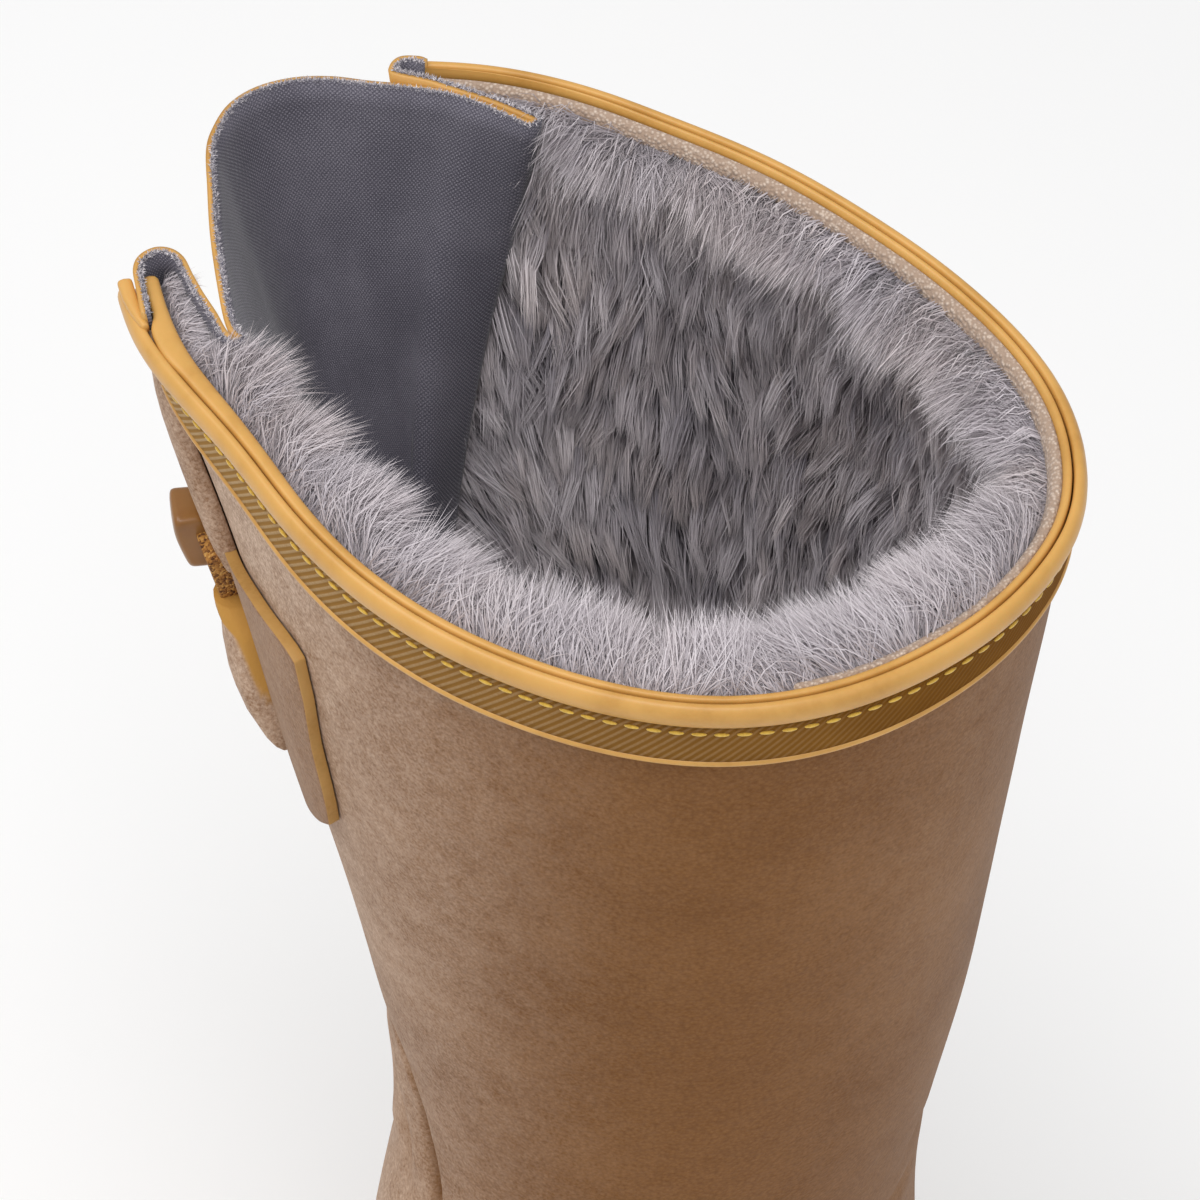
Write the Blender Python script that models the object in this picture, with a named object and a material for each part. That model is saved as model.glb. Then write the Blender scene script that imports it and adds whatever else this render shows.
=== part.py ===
"""Fur-lined rubber rain boot, right foot, standing on its sole.

Frame: metres, +Z up, toe towards -Y, heel towards +Y, lateral side towards -X.
The numbers below are millimetres; MM turns them into metres when a mesh is made.
Every piece of the boot is one closed solid, and neighbours keep a gap of SEAT.
"""
import math

import bmesh
import bpy
import numpy as np

MM = 0.001

# ---- driving dimensions (mm) ------------------------------------------------
SEAT = 0.3              # clearance between pieces that meet
LAID = 0.5              # clearance under pieces laid on the curved wall
HEIGHT = 355.0          # floor to the top of the rim
WALL_TOP = 351.6        # floor to the cut top edge of the wall
SHAFT_WALL = 8.0        # rubber 2 and deep fur lining 6
FOOT_WALL = 6.0         # rubber 2 and short lining 4
SOLE_LEDGE = 3.0        # sole edge beyond the upper
HEEL_END = 66.0         # rearmost point of the upper's feather line
TOE_TIP = -203.0        # foremost point of the upper's feather line
TOE_TIP_X = 9.0         # the toe points a little inwards
HEEL_ARC = 34.0         # length of the rounded heel end
TOE_ARC_LATERAL = 78.0  # length of the rounded toe on the little-toe side
TOE_ARC_MEDIAL = 63.0   # length of the rounded toe on the big-toe side
END_ROUNDNESS = 2.25    # superellipse exponent of heel and toe outline
FRAME_SHIFT = (13.45, 68.5)  # puts the middle of the bounding box over the origin

SLIT_DEPTH = 95.0       # rim to the bottom of the side slit
SLIT_ANGLE = 180.0      # plan angle of the slit's middle at the rim, seen from above
SLIT_LEAN = 11.0        # degrees that its bottom stands further forward
SLIT_OPEN = 73.0        # width of the slit at the rim
SLIT_FOOT = 7.0         # width of the slit at its bottom
SLIT_FLARE_FRONT = 7.0  # the slit's corners splay outwards at the rim
SLIT_FLARE_BACK = 2.0
FLARE_REACH = 24.0      # length of rim that splays

# Feather line of the upper between the rounded heel and toe ends.
OUTLINE = {
    "y":       (32.0, 8.0, -22.0, -55.0, -85.0, -110.0, -125.0, -140.0),
    "lateral": (34.0, 34.5, 37.5, 42.5, 47.5, 50.0, 50.3, 49.5),
    "medial":  (33.5, 30.5, 27.5, 30.5, 39.5, 45.5, 47.2, 47.5),
}
# Height of the sole's upper face, where upper and insole sit.
FLOOR = {
    "y": (70.0, 32.0, 8.0, -22.0, -55.0, -85.0, -115.0, -135.0, -158.0, -180.0, -210.0),
    "z": (26.5, 26.0, 25.0, 22.0, 17.0, 13.5, 12.0, 12.2, 14.2, 17.6, 23.5),
}
# Sections of the last. Each row is a plane through the x direction, from its
# back or bottom point (yb, zb) to its front or top point (yf, zf). cx is the
# sideways place of the ridge, wl and wm the half widths from it, sw the height
# of the widest place as a share of the row's length, n the fullness, and toe
# turns the top curve into the outline of the toe.
COLUMN_NAMES = ("yb", "zb", "yf", "zf", "cx", "wl", "wm", "sw", "n", "toe")
SECTIONS = (
    (58.6, 351.6, -57.2, 351.6, -8.8, 82.0, 82.0, 0.50, 2.00, 0.0),
    (63.2, 318.0, -57.0, 318.0, -6.6, 75.0, 75.0, 0.50, 2.00, 0.0),
    (64.6, 280.0, -55.0, 280.0, -4.4, 67.0, 67.0, 0.50, 2.00, 0.0),
    (65.2, 235.0, -51.2, 235.0, -1.2, 58.2, 58.2, 0.50, 2.00, 0.0),
    (65.0, 205.0, -49.2, 205.0, 0.4, 53.2, 53.2, 0.50, 2.00, 0.0),
    (63.6, 180.0, -47.8, 181.5, 1.2, 48.8, 48.8, 0.50, 2.00, 0.0),
    (62.2, 156.0, -48.6, 168.5, 1.6, 47.6, 45.6, 0.50, 2.00, 0.0),
    (61.4, 131.0, -53.0, 157.5, 1.6, 48.2, 43.8, 0.50, 2.02, 0.0),
    (62.4, 105.0, -58.2, 148.2, 1.6, 48.0, 42.8, 0.49, 2.05, 0.0),
    (64.8, 78.0, -63.0, 139.4, 1.6, 47.0, 42.4, 0.48, 2.10, 0.0),
    (66.6, 52.0, -67.4, 131.0, 1.8, 45.4, 42.0, 0.47, 2.15, 0.0),
    (66.0, 26.8, -71.8, 123.2, 2.0, 43.6, 41.6, 0.46, 2.20, 0.0),
    (61.0, 26.8, -75.2, 118.2, 2.2, 42.4, 41.2, 0.45, 2.20, 0.0),
    (48.0, 26.6, -80.4, 111.6, 2.6, 42.4, 40.5, 0.44, 2.20, 0.0),
    (30.0, 26.3, -86.8, 105.0, 3.2, 42.6, 39.5, 0.43, 2.20, 0.0),
    (6.0, 25.2, -95.0, 98.2, 3.8, 43.5, 37.5, 0.42, 2.20, 0.0),
    (-24.0, 22.0, -104.5, 91.5, 4.4, 46.0, 35.5, 0.40, 2.20, 0.0),
    (-56.0, 17.1, -116.0, 85.2, 5.0, 50.0, 37.0, 0.38, 2.20, 0.0),
    (-85.0, 13.8, -129.0, 79.0, 5.6, 55.3, 40.2, 0.36, 2.20, 0.0),
    (-110.0, 12.4, -143.5, 72.5, 6.4, 58.6, 42.6, 0.35, 2.20, 0.0),
    (-132.0, 12.3, -159.0, 65.4, 7.4, 59.5, 42.6, 0.33, 2.20, 0.0),
    (-148.0, 13.4, -174.5, 57.0, 8.2, 58.0, 41.0, 0.28, 2.20, 0.2),
    (-159.0, 14.6, -187.5, 47.5, 8.7, 55.6, 38.7, 0.20, 2.22, 0.5),
    (-167.0, 15.8, -196.8, 36.0, 8.9, 52.6, 36.3, 0.10, 2.24, 0.8),
    (-172.0, 16.6, -203.0, 22.4, 9.0, 50.0, 34.5, 0.00, 2.25, 1.0),
)
# How far the soft rim bends off its ellipse, from the slit's front edge (share 0)
# over toe, medial side and heel to its back edge (share 1).
RIM_BEND = {
    "share": (0.00, 0.04, 0.09, 0.16, 0.24, 0.31, 0.37, 0.42, 0.475, 0.53, 0.58, 0.63,
              0.70, 0.78, 0.87, 0.93, 0.97, 1.00),
    "out":   (0.0, -1.6, -3.2, -0.8, 1.4, 1.4, 0.0, -3.2, -5.4, -3.4, 0.2, 0.6,
              -2.6, -5.0, -5.2, -2.8, -1.2, 0.0),
}
BEND_DEPTH = 80.0       # the bend fades out this far below the rim

FIRST_OPEN_ROW = 11     # the row whose back point is the heel end of the feather line
WALL_ROWS = 2           # mesh rows to each row of the table, shaft and heel
COLUMNS = 18            # mesh columns on each side of the boot


# ---- curves and tables ------------------------------------------------------
def spline(keys, values, at):
    """Smooth curve through a table's column, without overshoot between rows."""
    keys = np.asarray(keys, float)
    values = np.asarray(values, float)
    if keys[0] > keys[-1]:
        keys, values = keys[::-1], values[::-1]
    step = np.diff(keys)
    slope = np.diff(values) / step
    tangent = np.empty(len(keys))
    tangent[0], tangent[-1] = slope[0], slope[-1]
    left, right = slope[:-1], slope[1:]
    same = left * right > 0
    weight = 2 * left * right / np.where(same, left + right, 1.0)
    tangent[1:-1] = np.where(same, weight, 0.0)
    at = np.clip(at, keys[0], keys[-1])
    i = np.clip(np.searchsorted(keys, at, side="right") - 1, 0, len(step) - 1)
    h = step[i]
    t = (at - keys[i]) / h
    return ((1 + 2 * t) * (1 - t) ** 2 * values[i] + t * (1 - t) ** 2 * h * tangent[i]
            + t * t * (3 - 2 * t) * values[i + 1] + t * t * (t - 1) * h * tangent[i + 1])


def floor_height(y):
    """Height of the sole's upper face at length y."""
    return spline(FLOOR["y"], FLOOR["z"], y)


def arc_share(u, power=END_ROUNDNESS):
    """Half width of a superellipse arc, 1 at its root and 0 at its tip."""
    return (1 - np.clip(u, 0, 1) ** power) ** (1 / power)


def feather_x(y, side):
    """Feather line of the upper at length y; side is -1 lateral, +1 medial."""
    column = "lateral" if side < 0 else "medial"
    toe_root = TOE_TIP + (TOE_ARC_LATERAL if side < 0 else TOE_ARC_MEDIAL)
    heel_root = HEEL_END - HEEL_ARC
    half = spline(OUTLINE["y"], OUTLINE[column], np.clip(y, toe_root, heel_root))
    if y > heel_root:
        return side * half * arc_share((y - heel_root) / HEEL_ARC)
    if y < toe_root:
        reach = side * half - TOE_TIP_X
        return TOE_TIP_X + reach * arc_share((toe_root - y) / (toe_root - TOE_TIP))
    return side * half


# ---- the last: sections of the upper ----------------------------------------
def section(row):
    """Values of the table at a row number, which may be a fraction."""
    index = np.arange(len(SECTIONS))
    table = np.array(SECTIONS)
    values = {name: float(spline(index, table[:, k], row))
              for k, name in enumerate(COLUMN_NAMES)}
    values["open"] = row >= FIRST_OPEN_ROW
    if values["open"]:
        values["zb"] = float(floor_height(values["yb"])) + SEAT
    return values


def half_curve(sec, side, count=160):
    """One side of a section, from its back or bottom point to its ridge."""
    back = np.array([sec["yb"], sec["zb"]])
    front = np.array([sec["yf"], sec["zf"]])
    length = np.linalg.norm(front - back)
    along = (front - back) / length
    foot_x = feather_x(sec["yb"], side) if sec["open"] else sec["cx"]
    foot = abs(foot_x - sec["cx"])
    width = sec["wl"] if side < 0 else sec["wm"]
    width = max(width * (1 - sec["toe"]) + foot * sec["toe"], foot + 0.01)
    n = sec["n"]
    widest = sec["sw"] * length
    share = foot / width
    reach = widest / max((1 - share ** n) ** (1 / n), 1e-4)
    start = math.acos(min(widest / max(reach, 1e-4), 1.0) ** (n / 2)) if widest > 0 else math.pi / 2
    low = np.linspace(start, math.pi / 2, count // 2, endpoint=False)
    high = np.linspace(math.pi / 2, math.pi, count - count // 2)
    s_low = widest - reach * np.abs(np.cos(low)) ** (2 / n)
    h_low = width * np.sin(low) ** (2 / n)
    s_high = widest + (length - widest) * np.abs(np.cos(high)) ** (2 / n)
    h_high = width * np.sin(high) ** (2 / n)
    if sec["toe"] > 0:
        # The toe's outline is the far part of a longer arc rooted behind the row.
        root = (TOE_ARC_LATERAL if side < 0 else TOE_ARC_MEDIAL) + TOE_TIP
        behind = max(root - sec["yb"], 0.0) * sec["toe"]
        t = (s_high - widest + behind) / (length - widest + behind)
        t0 = behind / (length - widest + behind)
        h_high = width * arc_share(t, n) / arc_share(t0, n)
    s = np.concatenate([s_low, s_high])
    h = np.concatenate([h_low, h_high])
    x = sec["cx"] + side * h
    y = back[0] + along[0] * s
    z = back[1] + along[1] * s
    return np.stack([x, y, z], axis=1)


def lengths(points):
    """Distance along a polyline at each of its points."""
    steps = np.linalg.norm(np.diff(points, axis=0), axis=1)
    return np.concatenate([[0.0], np.cumsum(steps)])


def resample(points, shares):
    """Points at given shares of a polyline's length."""
    run = lengths(points)
    at = np.asarray(shares) * run[-1]
    return np.stack([np.interp(at, run, points[:, k]) for k in range(3)], axis=1)


def slit_rise(z):
    """Share of the slit's height reached at z, 0 at its bottom and 1 at the rim."""
    return max((z - (HEIGHT - SLIT_DEPTH)) / SLIT_DEPTH, 0.0)


def slit_width(z):
    """Width of the side slit at height z, 0 below its bottom."""
    rise = (z - (HEIGHT - SLIT_DEPTH)) / SLIT_DEPTH
    if rise < -1e-6:
        return 0.0
    return SLIT_FOOT + (SLIT_OPEN - SLIT_FOOT) * rise


def slit_shares(points, z):
    """Where the slit's back and front edges stand on the lateral half."""
    total = lengths(points)[-1]
    lean = SLIT_LEAN * (1.0 - slit_rise(z))
    middle = 0.5 + math.radians(SLIT_ANGLE + lean - 180.0) / math.pi
    half = 0.5 * slit_width(z) / total
    return middle - half, middle + half


def shape_rim(first, second, z):
    """Bend the two runs of a level row as the soft rim and its slit corners bend."""
    path = np.concatenate([first, second])
    centre = np.array([SECTIONS[0][4], 0.0])
    out = path[:, :2] - centre
    out /= np.linalg.norm(out, axis=1)[:, None]
    run = lengths(path)
    fade = max((z - (HEIGHT - BEND_DEPTH)) / BEND_DEPTH, 0.0)
    push = spline(RIM_BEND["share"], RIM_BEND["out"], run / run[-1]) * fade
    rise = slit_rise(z) ** 1.5
    push += SLIT_FLARE_FRONT * rise * np.exp(-(run / FLARE_REACH) ** 2)
    push += SLIT_FLARE_BACK * rise * np.exp(-((run[-1] - run) / FLARE_REACH) ** 2)
    path[:, :2] += out * push[:, None]
    return path[:len(first)], path[len(first):]


def ring(row, columns=COLUMNS):
    """A row of the upper's outer face in two runs.

    The first run goes from the slit's front edge over the ridge to the back
    seam on the medial side; the second from the back seam on the lateral side
    to the slit's back edge.
    """
    sec = section(row)
    lateral = half_curve(sec, -1)
    medial = half_curve(sec, +1)
    z = sec["zb"] if row < 5 else 0.0
    back_edge, front_edge = slit_shares(lateral, z)
    half = columns // 2
    lateral_front = resample(lateral, np.linspace(front_edge, 1.0, half + 1))
    medial_run = resample(medial, np.linspace(1.0, 0.0, columns + 1))
    lateral_back = resample(lateral, np.linspace(0.0, back_edge, half + 1))
    first = np.concatenate([lateral_front, medial_run[1:]])
    if z > HEIGHT - SLIT_DEPTH:
        return shape_rim(first, lateral_back, z)
    return first, lateral_back


def row_at_height(z):
    """Row number of the level section at height z, for the shaft."""
    table = np.array(SECTIONS)[:6]
    return float(spline(table[:, 1], np.arange(6), z))


def wall_row_numbers():
    """Row numbers of the upper's mesh, from the rim to the toe."""
    bottom = HEIGHT - SLIT_DEPTH
    slit = np.linspace(WALL_TOP, bottom + 0.05, 7)
    shaft = np.array([252.0, 240.0, 225.0, 210.0, 195.0])
    level = [row_at_height(z) for z in np.concatenate([slit, shaft])]
    ankle = list(np.arange(5.0, 11.0, 1.0 / WALL_ROWS))
    foot = list(np.arange(11.0, 20.0, 1.0))
    toe = list(np.arange(20.0, 24.01, 0.5))
    return level + ankle + foot + toe, len(slit)


def wall_thickness(row):
    """Wall of the upper: deep lining in the shaft, thinner in the foot."""
    return SHAFT_WALL + (FOOT_WALL - SHAFT_WALL) * float(np.clip((row - 6.0) / 6.0, 0, 1))


# ---- the wall as a place to fix things to -----------------------------------
def wall_line(z):
    """Plan of the wall's outer face at height z: points, run, tangents, normals.

    The line goes from the slit's front edge round the toe and heel sides to its
    back edge.
    """
    first, second = ring(row_at_height(min(z, WALL_TOP)), 64)
    points = np.concatenate([first, second[1:]])[:, :2]
    run = lengths(points)
    tangent = np.gradient(points, run, axis=0)
    tangent /= np.linalg.norm(tangent, axis=1)[:, None]
    normal = np.stack([tangent[:, 1], -tangent[:, 0]], axis=1)
    if np.dot(points[0] - points[len(points) // 2], normal[0]) < 0:
        normal = -normal
    return points, run, tangent, normal


def on_wall(line, u, out):
    """Plan point at distance u along a wall line, out beyond the wall."""
    points, run, tangent, normal = line
    held = min(max(u, 0.0), run[-1])
    at = [np.array([np.interp(held, run, table[:, k]) for k in range(2)])
          for table in (points, tangent, normal)]
    return at[0] + at[1] * (u - held) + at[2] * out


def edge_frame(line, end):
    """Corner, direction into the wall and outward normal at a slit edge."""
    points, run, tangent, normal = line
    if end == "front":
        return points[0], tangent[0], normal[0]
    return points[-1], -tangent[-1], normal[-1]


# ---- meshes -----------------------------------------------------------------
def material(name, colour, roughness):
    """A Principled material."""
    mat = bpy.data.materials.new(name)
    mat.use_nodes = True
    shader = mat.node_tree.nodes["Principled BSDF"]
    shader.inputs["Base Color"].default_value = (*colour, 1.0)
    shader.inputs["Roughness"].default_value = roughness
    shader.inputs["Metallic"].default_value = 0.0
    return mat


def finish(name, bm, mat, sharp=35.0):
    """Turn a bmesh in millimetres into a named, shaded object in metres."""
    bmesh.ops.recalc_face_normals(bm, faces=bm.faces)
    shift = np.array([FRAME_SHIFT[0], FRAME_SHIFT[1], 0.0])
    for vert in bm.verts:
        vert.co = (np.array(vert.co) + shift) * MM
    mesh = bpy.data.meshes.new(name)
    bm.to_mesh(mesh)
    bm.free()
    mesh.shade_smooth()
    mesh.set_sharp_from_angle(angle=math.radians(sharp))
    mesh.materials.append(mat)
    obj = bpy.data.objects.new(name, mesh)
    bpy.context.scene.collection.objects.link(obj)
    return obj


def strip_faces(bm, first, second):
    """Quads between two runs of vertices, dropping those that share corners."""
    for i in range(len(first) - 1):
        corners = []
        for vert in (first[i], first[i + 1], second[i + 1], second[i]):
            if vert not in corners:
                corners.append(vert)
        if len(corners) > 2:
            bm.faces.new(corners)


def solid_between(bm, outer, inner):
    """Closed solid between two grids of points with the same rows and columns."""
    grids = [[[bm.verts.new(p) for p in row] for row in grid] for grid in (outer, inner)]
    for grid in grids:
        for upper_row, lower_row in zip(grid, grid[1:]):
            strip_faces(bm, upper_row, lower_row)
    strip_faces(bm, grids[0][0], grids[1][0])
    strip_faces(bm, grids[0][-1], grids[1][-1])
    strip_faces(bm, [row[0] for row in grids[0]], [row[0] for row in grids[1]])
    strip_faces(bm, [row[-1] for row in grids[0]], [row[-1] for row in grids[1]])


def loft(bm, loops):
    """Closed solid through loops of equal point count, capped at both ends."""
    rings = [[bm.verts.new(p) for p in loop] for loop in loops]
    for a, b in zip(rings, rings[1:]):
        strip_faces(bm, a + a[:1], b + b[:1])
    bm.faces.new(rings[0])
    bm.faces.new(rings[-1])


# ---- upper ------------------------------------------------------------------
def upper_shell(bm):
    """Outer face of the upper as one open sheet; returns rows and bottom rim."""
    numbers, slit_rows = wall_row_numbers()
    rows_of_vert = {}
    bottom = set()
    previous = None
    for j, number in enumerate(numbers):
        first, second = ring(number)
        is_open = number > FIRST_OPEN_ROW
        last = j == len(numbers) - 1
        a = [bm.verts.new(p) for p in first]
        shared_start = a[-1] if not is_open else None
        b = [shared_start or bm.verts.new(second[0])]
        b += [bm.verts.new(p) for p in second[1:-1]]
        b.append(a[0] if j >= slit_rows else bm.verts.new(second[-1]))
        for vert in a + b:
            rows_of_vert[vert] = number
        if number >= FIRST_OPEN_ROW:
            bottom.update((a[-1], b[0]))
        if last:
            bottom.update(a + b)
        if previous:
            strip_faces(bm, previous[0], a)
            strip_faces(bm, previous[1], b)
            if j == slit_rows:
                bm.faces.new((previous[0][0], a[0], previous[1][-1]))
        previous = (a, b)
    return rows_of_vert, bottom


def build_upper(mat):
    """Shaft and foot in one hollow wall, open at the rim, the slit and below."""
    bm = bmesh.new()
    rows_of_vert, bottom = upper_shell(bm)
    for vert in bottom:
        vert.co.z = floor_height(vert.co.y) + SEAT
    bmesh.ops.recalc_face_normals(bm, faces=bm.faces)
    bm.normal_update()
    widest = max(bm.verts, key=lambda vert: vert.co.x)
    outwards = math.copysign(1.0, widest.normal.x)
    outer_verts = list(bm.verts)
    outer_faces = list(bm.faces)
    rim_edges = [edge for edge in bm.edges if edge.is_boundary]
    inner = {}
    for vert in outer_verts:
        normal = vert.normal * outwards
        flat = vert in bottom or vert.co.z > WALL_TOP - 0.1
        if flat:
            normal.z = 0.0
            normal.normalize()
        co = vert.co - normal * wall_thickness(rows_of_vert[vert])
        if vert in bottom:
            co.z = floor_height(co.y) + SEAT
        inner[vert] = bm.verts.new(co)
    for face in outer_faces:
        bm.faces.new([inner[v] for v in reversed(face.verts)])
    for edge in rim_edges:
        v0, v1 = edge.verts
        bm.faces.new((v0, v1, inner[v1], inner[v0]))
    return finish("upper", bm, mat)


# ---- sole and insole --------------------------------------------------------
def outline(offset, count=26):
    """Closed outline of the feather line moved outwards, heel to toe and back."""
    middle = 0.5 * (HEEL_END + TOE_TIP)
    half = 0.5 * (HEEL_END - TOE_TIP)
    y = middle + half * np.cos(np.linspace(0.0, math.pi, count + 1))
    lateral = [(feather_x(v, -1), v) for v in y]
    medial = [(feather_x(v, +1), v) for v in y[1:-1]][::-1]
    points = np.array(lateral + medial)
    tangent = np.roll(points, -1, axis=0) - np.roll(points, 1, axis=0)
    tangent /= np.linalg.norm(tangent, axis=1)[:, None]
    normal = np.stack([tangent[:, 1], -tangent[:, 0]], axis=1)
    if np.dot(normal[0], (0.0, 1.0)) < 0:
        normal = -normal
    return points + normal * offset


def shrink(points, share):
    """Points moved towards the sole's middle line."""
    y = np.clip(points[:, 1], TOE_TIP + 42.0, HEEL_END - 30.0)
    middle = np.array([(feather_x(v, -1) + feather_x(v, +1)) / 2 for v in y])
    spine = np.stack([middle, y], axis=1)
    return spine + (points - spine) * share


def plate(bm, levels):
    """Closed plate from rings of (plan points, heights), bottom ring first."""
    rings = [[bm.verts.new((p[0], p[1], z)) for p, z in zip(points, heights)]
             for points, heights in levels]
    for a, b in zip(rings, rings[1:]):
        strip_faces(bm, a + a[:1], b + b[:1])
    count = len(rings[0])
    for loop in (rings[0], rings[-1]):
        left = loop[:count // 2 + 1]
        right = [loop[0]] + loop[:count // 2 - 1:-1]
        strip_faces(bm, left, right)


TOE_SPRING = {
    "y": (80.0, -128.0, -150.0, -175.0, -206.0, -215.0),
    "z": (0.0, 0.0, 2.0, 6.6, 14.0, 16.4),
}


def ground_height(y):
    """Height of the sole's lower face, lugs included."""
    return spline(TOE_SPRING["y"], TOE_SPRING["z"], y)


def cutter(name, bm):
    """A hidden helper object that a Boolean subtracts."""
    obj = finish(name, bm, material(name, (0.5, 0.5, 0.5), 0.5))
    obj.hide_render = True
    obj.display_type = "WIRE"
    return obj


def box(bm, centre, size, tilt=0.0):
    """Box with its top face tilted about x."""
    geometry = bmesh.ops.create_cube(bm, size=1.0)
    for vert in geometry["verts"]:
        x, y, z = (vert.co[k] * size[k] for k in range(3))
        c, s = math.cos(tilt), math.sin(tilt)
        vert.co = (centre[0] + x, centre[1] + y * c - z * s, centre[2] + y * s + z * c)


ARCH = ((14.0, -4.0), (12.6, 14.0), (-8.0, 12.6), (-28.0, 9.6), (-46.0, 5.2), (-62.0, -4.0))
GROOVE_WIDTH = 4.5
GROOVE_DEPTH = 3.6
FOREFOOT_GROOVES = np.arange(-76.0, -196.0, -13.0)
HEEL_GROOVES = (28.0, 41.0, 54.0)


def arch_cutter():
    """Prism that lifts the waist of the sole off the floor."""
    bm = bmesh.new()
    loft(bm, [[(x, y, z) for y, z in ARCH] for x in (-80.0, 80.0)])
    return cutter("arch_cut", bm)


def groove_cutter():
    """Bars across the tread between the lugs, following the toe spring."""
    bm = bmesh.new()
    for y in list(FOREFOOT_GROOVES) + list(HEEL_GROOVES):
        slope = (ground_height(y - 2) - ground_height(y + 2)) / 4.0
        centre = (0.0, y, ground_height(y) - 4.0 + GROOVE_DEPTH)
        box(bm, centre, (160.0, GROOVE_WIDTH, 8.0), -math.atan(slope))
    return cutter("lug_cut", bm)


def subtract(obj, tool):
    """Add a Boolean that cuts a helper's form away."""
    modifier = obj.modifiers.new(tool.name, "BOOLEAN")
    modifier.operation = "DIFFERENCE"
    modifier.object = tool
    modifier.solver = "EXACT"


def build_outsole(mat):
    """Moulded sole with heel, waist, toe spring and lugs."""
    bm = bmesh.new()
    edge = outline(SOLE_LEDGE)
    rings = []
    for share, inset, base, lift in (
            (0.5, 2.6, "ground", 0.0), (1.0, 2.6, "ground", 0.0), (1.0, 0.6, "ground", 2.2),
            (1.0, 0.0, "floor", -1.6), (1.0, 0.9, "floor", 0.0), (0.5, 0.9, "floor", 0.0)):
        points = shrink(outline(SOLE_LEDGE - inset), share)
        height = ground_height if base == "ground" else floor_height
        rings.append((points, height(edge[:, 1] if share == 1.0 else points[:, 1]) + lift))
    plate(bm, rings)
    bmesh.ops.triangulate(bm, faces=bm.faces)
    obj = finish("outsole", bm, mat)
    subtract(obj, arch_cutter())
    subtract(obj, groove_cutter())
    return obj


INSOLE_INSET = 2.6
INSOLE_THICK = 4.0


def build_insole(mat):
    """Loose lined insole lying on the sole inside the upper."""
    bm = bmesh.new()
    inset = FOOT_WALL + INSOLE_INSET
    rings = []
    for share, extra, lift in ((0.5, 0.0, SEAT), (1.0, 0.0, SEAT),
                               (1.0, 0.4, SEAT + INSOLE_THICK - 1.0),
                               (1.0, 1.6, SEAT + INSOLE_THICK), (0.5, 1.6, SEAT + INSOLE_THICK)):
        points = shrink(outline(-inset - extra), share)
        toe = np.clip((TOE_TIP + 40.0 - points[:, 1]) / 40.0, 0, 1)
        points[:, 1] += 3.0 * toe
        rings.append((points, floor_height(points[:, 1]) + lift))
    plate(bm, rings)
    return finish("insole", bm, mat)


# ---- rim, collar band and pieces that lie on the wall -----------------------
# Section of the rubber rim that caps the wall: out from the wall, and height.
RIM_SECTION = (
    (-2.0, 351.9), (0.5, 351.9), (0.5, 350.2), (1.8, 350.0), (2.4, 351.2),
    (2.4, 353.2), (1.5, 354.6), (0.2, 355.0), (-1.4, 354.8), (-2.0, 353.9),
)
RIM_STATIONS = 48
BAND_TOP = 349.6
BAND_FOOT = 339.5
BAND_THICK = 1.4


def build_rim_roll(mat):
    """Rubber bead round the top of the wall, from one slit edge to the other."""
    bm = bmesh.new()
    line = wall_line(WALL_TOP)
    loops = []
    for u in np.linspace(0.0, line[1][-1], RIM_STATIONS):
        loops.append([(*on_wall(line, u, out), z) for out, z in RIM_SECTION])
    loft(bm, loops)
    return finish("rim_roll", bm, mat)


def lay_on_wall(bm, rows):
    """Solid that lies on the wall.

    Each row is (height, list of (u, out below, out above)), u from the slit's
    front edge.
    """
    under, over = [], []
    for z, stations in rows:
        line = wall_line(z)
        under.append([(*on_wall(line, u, low), z) for u, low, high in stations])
        over.append([(*on_wall(line, u, high), z) for u, low, high in stations])
    solid_between(bm, over, under)


def build_collar_band(mat):
    """Woven tape under the rim, round the whole collar."""
    bm = bmesh.new()
    rows = []
    for z in np.linspace(BAND_TOP, BAND_FOOT, 3):
        total = wall_line(z)[1][-1]
        rows.append((z, [(u, LAID, LAID + BAND_THICK) for u in np.linspace(0.0, total, RIM_STATIONS)]))
    lay_on_wall(bm, rows)
    return finish("collar_band", bm, mat)


# Shield over the foot of the slit: height, and reach from the slit's front edge.
SHIELD = {
    "z":    (318.0, 316.0, 312.5, 304.0, 292.0, 281.0, 273.5, 267.0, 260.0, 254.0),
    "from": (2.0,   2.0,   2.0,   2.0,   2.0,   2.0,   2.0,   3.0,   12.0,  22.0),
    "to":   (50.0,  54.5,  57.0,  57.6,  57.2,  57.8,  58.0,  53.0,  45.0,  34.0),
}
SHIELD_THICK = 2.0
SHIELD_COLUMNS = 10


def build_slit_patch(mat):
    """Rubber shield vulcanised over the wall beside the foot of the slit."""
    bm = bmesh.new()
    rows = []
    for z, start, end in zip(SHIELD["z"], SHIELD["from"], SHIELD["to"]):
        stations = [(u, LAID, LAID + SHIELD_THICK) for u in np.linspace(start, end, SHIELD_COLUMNS)]
        rows.append((z, stations))
    lay_on_wall(bm, rows)
    return finish("slit_patch", bm, mat)


# Roll along the slit's front edge: height, reach from the edge, height above wall.
ROLL = {
    "z":    (339.0, 335.0, 331.0, 326.0, 321.0, 318.6, 318.3, 314.0, 309.0, 305.5),
    "from": (1.5,   1.5,   1.5,   2.5,   4.5,   6.0,   6.5,   10.0,  15.5,  20.0),
    "to":   (13.5,  14.7,  16.2,  18.0,  20.0,  21.0,  21.2,  22.8,  24.0,  24.6),
    "base": (0.5,   0.5,   0.5,   0.5,   0.5,   0.5,   2.8,   2.8,   2.8,   2.8),
    "rise": (4.6,   4.6,   4.6,   4.6,   4.7,   4.7,   4.7,   4.7,   4.4,   3.8),
}
ROLL_COLUMNS = 8


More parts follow.
